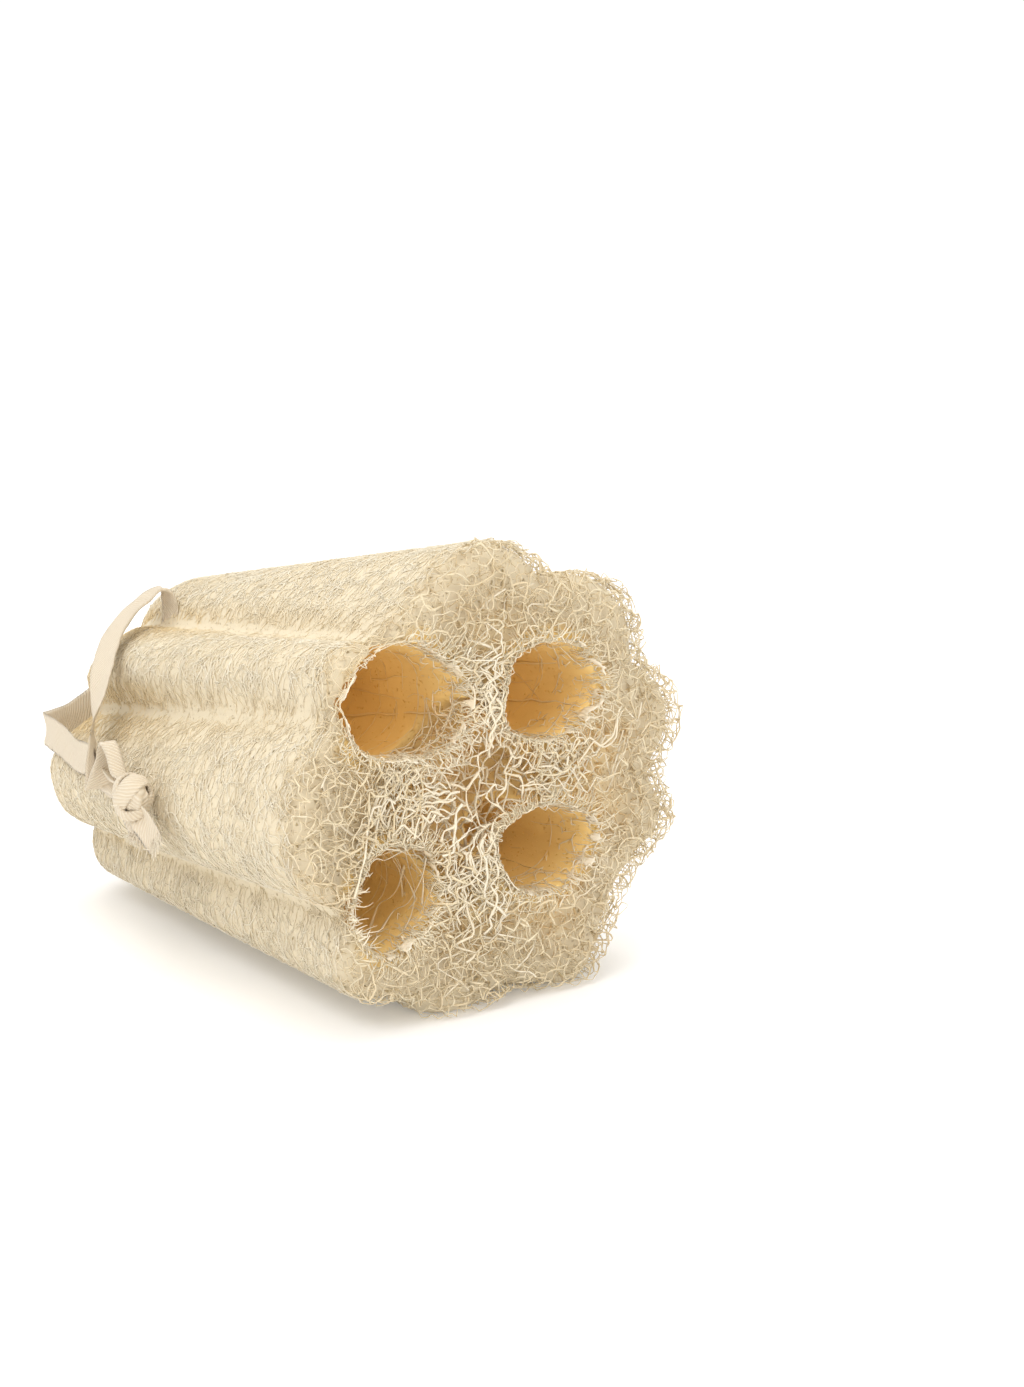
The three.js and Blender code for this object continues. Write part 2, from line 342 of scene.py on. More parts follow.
    def mouth(self, places: Array) -> Array:
        """How far places lie from the nearest channel, 1 on its wall and less inside.

        Args:
            places: Places, one a row.

        Returns:
            Shares of the channel's half size.
        """
        best = np.full(len(places), 9.0)
        for index in range(len(self.channels)):
            x, z, w, h = self.section(index, places[:, 1])
            across, up = (places[:, 0] - x) / w, (places[:, 2] - z) / h
            swell = self.uneven(index, np.arctan2(up, across), places[:, 1])
            best = np.minimum(best, np.hypot(across, up) / swell)
        return best

    def polar(self, places: Array) -> tuple[Array, Array]:
        """Angle round the axis and share of the skin's radius.

        Args:
            places: Places, one a row.

        Returns:
            Degrees and shares.
        """
        x, z = places[:, 0] - self.shift, places[:, 2] - self.axis(places[:, 1])
        degrees = np.degrees(np.arctan2(z, x))
        full = mix(*self.groove, self.share(places[:, 1])) + self.rise(degrees, places[:, 1])
        return degrees, np.hypot(x, z) / full

    def front_inset(self, share: Array) -> Array:
        """How far the rounded front rim lies behind the cut.

        Args:
            share: Shares of the radius.

        Returns:
            Insets.
        """
        depth, loss = self.front_rim
        gone = np.clip(1.0 - np.clip(1.0 - share, 0.0, loss) / loss, 0.0, 1.0)
        return depth * (1.0 - np.sqrt(np.clip(1.0 - gone * gone, 0.0, 1.0)))


class FibreSet:
    """Strands that are swept to thin round fibres and shown as one piece."""

    def __init__(self, name: str, sides: int = 3) -> None:
        """Starts an empty set.

        Args:
            name: Name of the piece.
            sides: Sides of a fibre's section.
        """
        self.name = name
        self.sides = sides
        self.strands: list[tuple[Array, Array]] = []

    def add(self, places: Array, radii: Array) -> None:
        """Adds a strand.

        Args:
            places: Places along it in millimetres, one a row.
            radii: Its radius at each place in millimetres.
        """
        self.strands.append((places, radii))

    def _section(self) -> bpy.types.Object:
        """Draws the outline that is swept along the strands.

        Returns:
            A closed curve.
        """
        curve = bpy.data.curves.new(f"{self.name}_section", "CURVE")
        spline = curve.splines.new("POLY")
        spline.points.add(self.sides - 1)
        spline.use_cyclic_u = True
        for index, point in enumerate(spline.points):
            turn = 2.0 * math.pi * index / self.sides
            point.co = (MM * math.cos(turn), MM * math.sin(turn), 0.0, 1.0)
        section = bpy.data.objects.new(curve.name, curve)
        bpy.context.scene.collection.objects.link(section)
        return section

    def build(self) -> bpy.types.Object:
        """Sweeps the strands.

        Returns:
            The piece, a mesh.
        """
        curve = bpy.data.curves.new(self.name, "CURVE")
        curve.dimensions = "3D"
        curve.bevel_mode = "OBJECT"
        curve.bevel_object = self._section()
        curve.use_fill_caps = True
        for places, radii in self.strands:
            spline = curve.splines.new("POLY")
            spline.points.add(len(places) - 1)
            rows = np.column_stack([places * MM, np.ones(len(places))])
            spline.points.foreach_set("co", rows.astype(np.float32).ravel())
            spline.points.foreach_set("radius", np.asarray(radii, np.float32))
        sweep = bpy.data.objects.new(f"{self.name}_sweep", curve)
        bpy.context.scene.collection.objects.link(sweep)
        graph = bpy.context.evaluated_depsgraph_get()
        mesh = bpy.data.meshes.new_from_object(sweep.evaluated_get(graph))
        mesh.name = self.name
        piece = bpy.data.objects.new(self.name, mesh)
        bpy.context.scene.collection.objects.link(piece)
        section = curve.bevel_object
        for helper in (sweep, section):
            data = helper.data
            bpy.data.objects.remove(helper)
            bpy.data.curves.remove(data)
        mesh.polygons.foreach_set("use_smooth", np.ones(len(mesh.polygons), bool))
        LOG.info("%s: %d strands, %d faces", self.name, len(self.strands), len(mesh.polygons))
        return piece


def to_piece(name: str, work: bmesh.types.BMesh) -> bpy.types.Object:
    """Turns a worked mesh into a smooth object and frees it.

    Args:
        name: Name of the object.
        work: Worked mesh.

    Returns:
        The object.
    """
    mesh = bpy.data.meshes.new(name)
    work.to_mesh(mesh)
    work.free()
    mesh.polygons.foreach_set("use_smooth", np.ones(len(mesh.polygons), bool))
    piece = bpy.data.objects.new(name, mesh)
    bpy.context.scene.collection.objects.link(piece)
    return piece


def corner_places(mesh: bpy.types.Mesh) -> Array:
    """Reads the corners of a mesh.

    Args:
        mesh: Mesh in metres.

    Returns:
        Places in millimetres, one a row.
    """
    flat = np.zeros(len(mesh.vertices) * 3, np.float32)
    mesh.vertices.foreach_get("co", flat)
    return flat.reshape(-1, 3).astype(float) / MM


def set_amber_shade(mesh: bpy.types.Mesh, amber_shade: Array) -> None:
    """Stores the painted amber shade of a piece at each corner, deeper in hollows, in place of shade
    and of light through the fibres.

    Args:
        mesh: Mesh to mark.
        amber_shade: 0 for pale skin to 1 for deep amber, one a corner.
    """
    layer = mesh.attributes.new(AMBER_SHADE, "FLOAT", "POINT")
    layer.data.foreach_set("value", np.clip(amber_shade, 0.0, 1.0).astype(np.float32))


def scatter(candidates: Array, spacing: float, limit: int) -> Array:
    """Keeps candidates that are not too near to one kept before.

    Args:
        candidates: Places in drawing order, one a row.
        spacing: Least distance between kept places.
        limit: Most places to keep.

    Returns:
        Kept places, one a row.
    """
    cells: dict[tuple[int, int, int], list[int]] = {}
    kept: list[Array] = []
    near = [(i, j, k) for i in (-1, 0, 1) for j in (-1, 0, 1) for k in (-1, 0, 1)]
    for place in candidates:
        cell = tuple(int(v) for v in np.floor(place / spacing))
        around = (cells.get((cell[0] + i, cell[1] + j, cell[2] + k), ()) for i, j, k in near)
        if all(
            sum((a - b) ** 2 for a, b in zip(place, kept[n])) >= spacing * spacing
            for found in around
            for n in found
        ):
            cells.setdefault(cell, []).append(len(kept))
            kept.append(place)
            if len(kept) == limit:
                break
    return np.array(kept)


class Net:
    """Fibre net through scattered knots, drawn as smooth trails."""

    def __init__(self, knots: Array, rng: np.random.Generator, reach: float, near: int = 14) -> None:
        """Joins knots with their relative neighbours.

        Args:
            knots: Places, one a row.
            rng: Seeded draws.
            reach: Longest link.
            near: Neighbours that are looked at for each knot.
        """
        self.knots = knots
        self.rng = rng
        self.links: dict[int, list[int]] = {i: [] for i in range(len(knots))}
        tree = kdtree.KDTree(len(knots))
        for index, knot in enumerate(knots):
            tree.insert(Vector(knot), index)
        tree.balance()
        for index, knot in enumerate(knots):
            found = [n for _, n, d in tree.find_n(Vector(knot), near) if n != index and d < reach]
            if not found:
                continue
            places = knots[found]
            away = np.linalg.norm(places - knot, axis=1)
            between = np.linalg.norm(places[:, None] - places[None], axis=2)
            blocked = (away[None, :] < away[:, None]) & (between < away[:, None])
            for number, other in enumerate(found):
                if other > index and not blocked[number].any():
                    self.links[index].append(other)
                    self.links[other].append(index)

    def trails(self, longest: int) -> list[list[int]]:
        """Strings links together so that each trail bends gently.

        Args:
            longest: Most knots on a trail.

        Returns:
            Trails as numbers of knots.
        """
        free = {i: set(n) for i, n in self.links.items()}
        result = []
        for start in self.rng.permutation(len(self.knots)):
            while free[start]:
                trail = [int(start)]
                step = min(free[start])
                while True:
                    free[trail[-1]].discard(step)
                    free[step].discard(trail[-1])
                    trail.append(step)
                    if len(trail) >= longest or not free[step]:
                        break
                    heading = self.knots[step] - self.knots[trail[-2]]
                    options = list(free[step])
                    ways = self.knots[options] - self.knots[step]
                    score = ways @ heading / np.linalg.norm(ways, axis=1) / np.linalg.norm(heading)
                    if score.max() < 0.1:
                        break
                    step = options[int(score.argmax())]
                result.append(trail)
        return result

    def draw(
        self,
        fibres: FibreSet,
        radius: tuple[float, float],
        curl: float,
        longest: int = 9,
        per_step: int = 2,
    ) -> None:
        """Adds the net to a set of fibres.

        Args:
            fibres: Set that gets the strands.
            radius: Thinnest and thickest strand.
            curl: Sideways bend of a link as a share of its length.
            longest: Most knots on a strand.
            per_step: Samples on each half link.
        """
        for trail in self.trails(longest):
            knots = self.knots[trail]
            spans = np.linalg.norm(np.diff(knots, axis=0), axis=1)
            bend = self.rng.normal(0.0, 1.0, (len(spans), 3)) * (curl * spans)[:, None]
            route = np.empty((2 * len(knots) - 1, 3))
            route[0::2] = knots
            route[1::2] = (knots[1:] + knots[:-1]) / 2 + bend
            line = catmull_rom(route, per_step)
            base = self.rng.uniform(*radius)
            wave = np.cos(np.linspace(0.0, 2 * math.pi * len(spans), len(line)))
            fibres.add(line, base * (1.0 + 0.28 * wave))


def start_material(name: str, rough: float, gloss: float) -> tuple[bpy.types.Material, bpy.types.Node]:
    """Starts a material.

    Args:
        name: Name of the material.
        rough: Roughness.
        gloss: Strength of the plain reflection.

    Returns:
        The material and its shader.
    """
    material = bpy.data.materials.new(name)
    material.use_nodes = True
    shader = material.node_tree.nodes["Principled BSDF"]
    shader.inputs["Roughness"].default_value = rough
    shader.inputs["Specular IOR Level"].default_value = gloss
    return material, shader


def blend_node(nodes: bpy.types.Nodes, low: Triple, high: Triple) -> bpy.types.Node:
    """Adds a blend of two colours.

    Args:
        nodes: Nodes of the material.
        low: Colour at factor 0.
        high: Colour at factor 1.

    Returns:
        The node.
    """
    blend = nodes.new("ShaderNodeMix")
    blend.data_type = "RGBA"
    blend.inputs["A"].default_value = (*low, 1.0)
    blend.inputs["B"].default_value = (*high, 1.0)
    return blend


def amber_shade_node(nodes: bpy.types.Nodes) -> bpy.types.Node:
    """Adds the reading of the painted amber shade stored on a piece.

    Args:
        nodes: Nodes of the material.

    Returns:
        The node.
    """
    amber_shade = nodes.new("ShaderNodeAttribute")
    amber_shade.attribute_name = AMBER_SHADE
    return amber_shade


@dataclass(frozen=True)
class FibreFinish:
    """Dry plant fibre: pale and straw at random, with painted amber shade where it lies deep in
    hollows.
    """

    name: str
    pale: Triple
    straw: Triple
    # Colour of the painted amber shade.
    amber: Triple
    rough: float = 0.72
    gloss: float = 0.25
    patches: float = 70.0
    island_share: float = 0.55

    def build(self) -> bpy.types.Material:
        """Makes the material.

        Returns:
            The material.
        """
        material, shader = start_material(self.name, self.rough, self.gloss)
        nodes, links = material.node_tree.nodes, material.node_tree.links
        place = nodes.new("ShaderNodeTexCoord")
        island = nodes.new("ShaderNodeNewGeometry")
        patch = nodes.new("ShaderNodeTexNoise")
        patch.inputs["Scale"].default_value = self.patches
        patch.inputs["Detail"].default_value = 4.0
        links.new(place.outputs["Object"], patch.inputs["Vector"])
        spread = nodes.new("ShaderNodeMath")
        spread.operation = "MULTIPLY_ADD"
        links.new(island.outputs["Random Per Island"], spread.inputs[0])
        spread.inputs[1].default_value = self.island_share
        links.new(patch.outputs["Fac"], spread.inputs[2])
        reach = nodes.new("ShaderNodeMapRange")
        reach.inputs["From Min"].default_value = 0.4
        reach.inputs["From Max"].default_value = 1.15
        links.new(spread.outputs[0], reach.inputs["Value"])
        body = blend_node(nodes, self.pale, self.straw)
        links.new(reach.outputs["Result"], body.inputs["Factor"])
        # Painted shade: the colour turns amber deep in channels, grooves and the cut.
        deep = blend_node(nodes, self.pale, self.amber)
        links.new(amber_shade_node(nodes).outputs["Fac"], deep.inputs["Factor"])
        links.new(body.outputs["Result"], deep.inputs["A"])
        links.new(deep.outputs["Result"], shader.inputs["Base Color"])
        return material


@dataclass(frozen=True)
class FeltFinish:
    """Close felt: a fine mesh of fibres, with painted shade in its small pores and painted amber shade
    deep inside.
    """

    name: str
    thread: Triple
    # Pore colours are painted shade in the pores; amber colours are painted shade deep inside.
    pore_shade: Triple
    amber: Triple
    amber_pore_shade: Triple
    mesh: float = 820.0
    stir: float = 380.0
    stir_reach: float = 0.0024
    pore_range: tuple[float, float] = (0.28, 0.48)
    rough: float = 0.8
    gloss: float = 0.2
    bump: float = 0.7
    bump_high: float = 0.0005

    def build(self) -> bpy.types.Material:
        """Makes the material.

        Returns:
            The material.
        """
        material, shader = start_material(self.name, self.rough, self.gloss)
        nodes, links = material.node_tree.nodes, material.node_tree.links
        place = nodes.new("ShaderNodeTexCoord")
        stir = nodes.new("ShaderNodeTexNoise")
        stir.inputs["Scale"].default_value = self.stir
        stir.inputs["Detail"].default_value = 2.0
        links.new(place.outputs["Object"], stir.inputs["Vector"])
        bend = nodes.new("ShaderNodeVectorMath")
        bend.operation = "MULTIPLY_ADD"
        links.new(stir.outputs["Color"], bend.inputs[0])
        bend.inputs[1].default_value = (self.stir_reach,) * 3
        links.new(place.outputs["Object"], bend.inputs[2])
        cells = nodes.new("ShaderNodeTexVoronoi")
        cells.feature = "DISTANCE_TO_EDGE"
        cells.inputs["Scale"].default_value = self.mesh
        links.new(bend.outputs["Vector"], cells.inputs["Vector"])
        # Mask of the pores, which get painted shade and sit lower in the bump.
        thread = nodes.new("ShaderNodeMapRange")
        thread.interpolation_type = "SMOOTHSTEP"
        for socket, value in zip(("From Min", "From Max"), self.pore_range):
            thread.inputs[socket].default_value = value
        links.new(cells.outputs["Distance"], thread.inputs["Value"])
        # Painted shade: darker pores outside, amber with darker amber pores deep inside.
        outside = blend_node(nodes, self.thread, self.pore_shade)
        inside = blend_node(nodes, self.amber, self.amber_pore_shade)
        for blend in (outside, inside):
            links.new(thread.outputs["Result"], blend.inputs["Factor"])
        final = blend_node(nodes, self.thread, self.amber)
        links.new(amber_shade_node(nodes).outputs["Fac"], final.inputs["Factor"])
        links.new(outside.outputs["Result"], final.inputs["A"])
        links.new(inside.outputs["Result"], final.inputs["B"])
        links.new(final.outputs["Result"], shader.inputs["Base Color"])
        raise_ = nodes.new("ShaderNodeBump")
        raise_.invert = True
        raise_.inputs["Strength"].default_value = self.bump
        raise_.inputs["Distance"].default_value = self.bump_high
        links.new(thread.outputs["Result"], raise_.inputs["Height"])
        links.new(raise_.outputs["Normal"], shader.inputs["Normal"])
        return material


@dataclass(frozen=True)
class TwillFinish:
    """Undyed cotton twill with slanting ribs across the tape."""

    name: str = "cotton_twill"
    light: Triple = (0.75, 0.66, 0.52)
    shade: Triple = (0.67, 0.56, 0.41)
    ribs: float = 420.0
    slant: float = 38.0
    rough: float = 0.85
    gloss: float = 0.2
    sheen: float = 0.15
    bump: float = 0.5
    bump_high: float = 0.0003

    def build(self) -> bpy.types.Material:
        """Makes the material.

        Returns:
            The material.
        """
        material, shader = start_material(self.name, self.rough, self.gloss)
        nodes, links = material.node_tree.nodes, material.node_tree.links
        shader.inputs["Sheen Weight"].default_value = self.sheen
        sheet = nodes.new("ShaderNodeUVMap")
        sheet.uv_map = "tape"
        turn = nodes.new("ShaderNodeMapping")
        turn.inputs["Rotation"].default_value = (0.0, 0.0, math.radians(self.slant))
        links.new(sheet.outputs["UV"], turn.inputs["Vector"])
        rib = nodes.new("ShaderNodeTexWave")
        rib.wave_type = "BANDS"
        rib.inputs["Scale"].default_value = self.ribs
        rib.inputs["Distortion"].default_value = 1.2
        rib.inputs["Detail"].default_value = 2.0
        links.new(turn.outputs["Vector"], rib.inputs["Vector"])
        colour = blend_node(nodes, self.shade, self.light)
        links.new(rib.outputs["Fac"], colour.inputs["Factor"])
        links.new(colour.outputs["Result"], shader.inputs["Base Color"])
        raise_ = nodes.new("ShaderNodeBump")
        raise_.inputs["Strength"].default_value = self.bump
        raise_.inputs["Distance"].default_value = self.bump_high
        links.new(rib.outputs["Fac"], raise_.inputs["Height"])
        links.new(raise_.outputs["Normal"], shader.inputs["Normal"])
        return material


def show(piece: bpy.types.Object, node: Node, material: bpy.types.Material) -> None:
    """Dresses a piece and ties it to the frame.

    Args:
        piece: Finished piece.
        node: Construction node that it stands for.
        material: Its material.
    """
    piece.data.materials.clear()
    piece.data.materials.append(material)
    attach(piece, "root")
    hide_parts(node.value)


class BodyPart:
    """Part of the sponge's body whose pieces share one finish."""

    finish: FeltFinish | FibreFinish

    def dress(self, pieces: list[bpy.types.Object]) -> None:
        """Gives the pieces their finish and ties them to the body.

        Args:
            pieces: Finished pieces.
        """
        material = self.finish.build()
        for piece in pieces:
            show(piece, Node.BODY, material)


@dataclass
class FeltBody(BodyPart):
    """Dense felted mass under the open fibres, with the seed channels through it."""

    form: LoofahForm
    sink: float = 0.3
    front_recess: float = 4.4
    back_recess: float = 4.0
    wall_sink: tuple[float, float] = (-0.6, -1.0)
    rim_run: float = 9.0
    rim_loss: float = 0.1
    heart_deep: float = 24.0
    cell: float = 1.4
    roughness: float = 0.15
    lumps: tuple[float, float] = (0.33, 0.8)
    cap: float = 0.15
    overcut: float = 8.0
    floor: float = 0.4
    # Felt colours: thread, painted pore shade, painted amber shade and darker painted amber pore
    # shade.
    finish: FeltFinish = FeltFinish(
        "felt", (0.76, 0.66, 0.48), (0.50, 0.38, 0.20), (0.96, 0.69, 0.28), (0.94, 0.62, 0.2)
    )

    def _shell(
        self, name: str, rule: Callable[[float, float], Array], segments: int, rings: int
    ) -> bpy.types.Object:
        """Bends a ball to a closed shell.

        Args:
            name: Name of the shell.
            rule: Gives a place for degrees round the axis and a share from pole to pole.
            segments: Faces round the shell.
            rings: Faces from pole to pole.

        Returns:
            The shell.
        """
        ball = bmesh.new()
        bmesh.ops.create_uvsphere(ball, u_segments=segments, v_segments=rings, radius=1.0)
        for vert in ball.verts:
            degrees = math.degrees(math.atan2(vert.co.y, vert.co.x))
            share = math.acos(max(-1.0, min(1.0, vert.co.z))) / math.pi
            vert.co = Vector(rule(degrees, share)) * MM
        return to_piece(name, ball)

    def _outer(self, degrees: float, share: float) -> Array:
        """Place on the felt's outside.

        Args:
            degrees: Angle round the axis.
            share: Share of the way from the front middle to the back middle.

        Returns:
            The place.
        """
        form = self.form
        front, back = form.front + self.front_recess, form.back - self.back_recess
        if share < self.cap:
            y, part = front, share / self.cap
        elif share > 1.0 - self.cap:
            y, part = back, (1.0 - share) / self.cap
        else:
            y, part = mix(front, back, (share - self.cap) / (1.0 - 2.0 * self.cap)), 1.0
        place = form.skin(np.array(degrees), np.array(y), np.array(-self.sink))
        axis = np.array([form.shift, y, form.axis(y)])
        edge = min(y - front, self.rim_run) / self.rim_run
        part *= 1.0 - self.rim_loss * (1.0 - math.sqrt(max(0.0, 1.0 - (1.0 - edge) ** 2)))
        return axis + (place - axis) * part

    def _channel(self, index: int) -> Callable[[float, float], Array]:
        """Makes the rule for one channel's cutter.

        Args:
            index: Number of the channel.

        Returns:
            The rule, as _shell takes it.
        """
        form = self.form

        def rule(degrees: float, share: float) -> Array:
            """Place on the wall of the cutter.

            Args:
                degrees: Angle round the channel.
                share: Share of the way through.

            Returns:
                The place.
            """
            along = min(max((share - 0.03) / 0.94, 0.0), 1.0)
            y = mix(form.front - self.overcut, form.back + self.overcut, along)
            sink = mix(*self.wall_sink, min(max(form.share(y), 0.0), 1.0))
            place = form.wall(index, np.array(degrees), np.array(y), np.array(-sink))
            if share in (0.0, 1.0):
                x, z, _, _ = form.section(index, np.array(y))
                place = np.array([x, y, z])
            return place

        return rule

    def _heart(self, degrees: float, share: float) -> Array:
        """Place on the hollow of the heart.

        Args:
            degrees: Angle round the heart.
            share: Share of the way from its near pole to its far one.

        Returns:
            The place.
        """
        heart, turn = self.form.heart, math.radians(degrees)
        around = math.sin(share * math.pi)
        y = self.form.front + self.heart_deep * -math.cos(share * math.pi)
        x = self.form.shift + heart.x + heart.w * around * math.cos(turn)
        z = self.form.axis(self.form.front) + heart.z + heart.h * around * math.sin(turn)
        return np.array([x, y, z])

    def build(self) -> list[bpy.types.Object]:
        """Cuts the channels out of the mass and roughens it.

        Returns:
            The piece, alone in a list.
        """
        body = self._shell("loofah_felt", self._outer, 144, 96)
        cutters = [self._shell("heart_cutter", self._heart, 48, 24)]
        for index in range(len(self.form.channels)):
            cutters.append(self._shell(f"channel_cutter_{index}", self._channel(index), 48, 48))
        for cutter in cutters:
            cut = body.modifiers.new(cutter.name, "BOOLEAN")
            cut.operation = "DIFFERENCE"
            cut.solver = "EXACT"
            cut.object = cutter
        remesh = body.modifiers.new("cells", "REMESH")
        remesh.mode = "VOXEL"
        remesh.voxel_size = self.cell * MM
        graph = bpy.context.evaluated_depsgraph_get()
        mesh = bpy.data.meshes.new_from_object(body.evaluated_get(graph))
        body.modifiers.clear()
        body.data = mesh
        mesh.name = "loofah_felt"
        for cutter in cutters:
            data = cutter.data
            bpy.data.objects.remove(cutter)
            bpy.data.meshes.remove(data)
        self._roughen(mesh)
        mesh.polygons.foreach_set("use_smooth", np.ones(len(mesh.polygons), bool))
        LOG.info("felt: %d faces", len(mesh.polygons))
        return [body]

    def _roughen(self, mesh: bpy.types.Mesh) -> None:
        """Raises small lumps and paints amber shade on the channel walls and towards the core.

        Args:
            mesh: Mesh of the felt.
        """
        places = corner_places(mesh)
        normals = np.zeros(len(mesh.vertices) * 3, np.float32)
        mesh.vertex_normals.foreach_get("vector", normals)
        normals = normals.reshape(-1, 3)
        wide, close = self.lumps
        lumps = np.array(
            [noise.noise(Vector(p * wide)) + 0.6 * noise.noise(Vector(p * close)) for p in places]
        )
        moved = places + normals * (self.roughness * lumps)[:, None]
        moved[:, 2] = np.maximum(moved[:, 2], self.floor)
        mesh.vertices.foreach_set("co", (moved * MM).astype(np.float32).ravel())
        mesh.update()
        # Painted amber shade near the channel walls and towards the core, faded out near the back cut.
        wall = self.form.mouth(places)
        _, share = self.form.polar(places)
        inside = (1.0 - smooth_step(1.1, 1.35, wall)) * (1.0 - smooth_step(0.86, 0.95, share))
        inner = (1.0 - smooth_step(0.25, 0.85, share)) * 0.85
        far = smooth_step(self.form.back - 14.0, self.form.back - 6.0, places[:, 1])
        set_amber_shade(mesh, np.maximum(inside, inner) * (1.0 - far))


@dataclass
class SkinFibres(BodyPart):
    """Matted short fibres of the skin, most of them running round the body."""

    form: LoofahForm
    rng: np.random.Generator
    # Pale and straw at random; the amber is painted shade in the grooves.
    finish: FibreFinish = FibreFinish(
        "skin_fibre", (0.88, 0.81, 0.66), (0.84, 0.75, 0.58), (0.80, 0.62, 0.34)
    )
    step: float = 1.7
    weave: float = 0.13
    ragged: float = 7.0
    shortest: int = 4
    longest: int = 8
    around: tuple[float, float] = (54.0, 40.0)
    mean_radius: float = 47.0
    floor: float = 0.4
    layers: tuple[tuple[str, float, float, float, float, float], ...] = (
        ("skin_fibres_under", 0.88, 180.0, -0.17, 0.11, 0.17),
        ("skin_fibres_over", 0.88, 180.0, -0.12, 0.08, 0.13),
        ("skin_fibres_top", 1.1, 180.0, -0.06, 0.06, 0.11),
    )

    def _strand(self, slant: float, lift: float) -> Array:
        """Draws one fibre on the skin.

        Args:
            slant: Spread of its heading in degrees.
            lift: Height over the skin.

        Returns:
            Places along it, none where it would be too short.
        """
        count = int(self.rng.integers(self.shortest, self.longest + 1))
        heading = math.radians(self.rng.normal(0.0, slant))
        wander = np.cumsum(self.rng.normal(0.0, 0.6, count)) + heading
        y0 = self.rng.uniform(self.form.front, self.form.back)
        turn0 = self.rng.uniform(0.0, 360.0)
        radius = mix(*self.around, self.form.share(y0))
        degrees = turn0 + np.degrees(np.cumsum(np.cos(wander)) * self.step / radius)
        y = y0 + np.cumsum(np.sin(wander)) * self.step
        side = math.radians(turn0)
        spot = Vector((2.2 * math.cos(side), 2.2 * math.sin(side), 0.04 * y0))
        bare = self.ragged * (0.55 + 0.9 * noise.noise(spot) + 0.35 * self.rng.random())
        keep = (y > self.form.front + max(bare, 0.2)) & (y < self.form.back - 0.2)
        count = count if keep.all() else int(np.argmin(keep))
        if count < self.shortest:
            return np.zeros((0, 3))
        phase = self.rng.uniform(0.0, 2.0 * math.pi)
        dip = lift + self.weave * np.sin(np.arange(count) * self.step + phase)
        places = self.form.skin(degrees[:count], y[:count], dip)
        places[:, 2] = np.maximum(places[:, 2], self.floor)
        return places

    def build(self) -> list[bpy.types.Object]:
        """Lays the fibres in layers.

        Returns:
            One piece a layer.
        """
        pieces = []
        area = 2.0 * math.pi * self.mean_radius * self.form.length
        for name, spacing, slant, lift, thin, thick in self.layers:
            fibres = FibreSet(name)
            wanted, laid = area / spacing, 0.0
            while laid < wanted:
                places = self._strand(slant, lift)
                if not len(places):
                    continue
                laid += self.step * len(places)
                base = self.rng.uniform(thin, thick)
                ends = np.ones(len(places))
                ends[[0, -1]] = 0.4
                fibres.add(places, base * ends)
            piece = fibres.build()
            places = corner_places(piece.data)
            degrees, share = self.form.polar(places)
            # Painted shade: amber in the grooves, stronger towards the back, and a little on fibres
            # sunk under the skin.
            low = 1.0 - smooth_step(0.8, 4.5, self.form.rise(degrees, places[:, 1]))
            deep = 1.0 - smooth_step(-1.0, 0.3, (share - 1.0) * 48.0)
            groove_shade = 0.3 + 0.4 * smooth_step(0.0, 50.0, places[:, 1])
            set_amber_shade(piece.data, groove_shade * low + 0.15 * deep)
            pieces.append(piece)
        return pieces


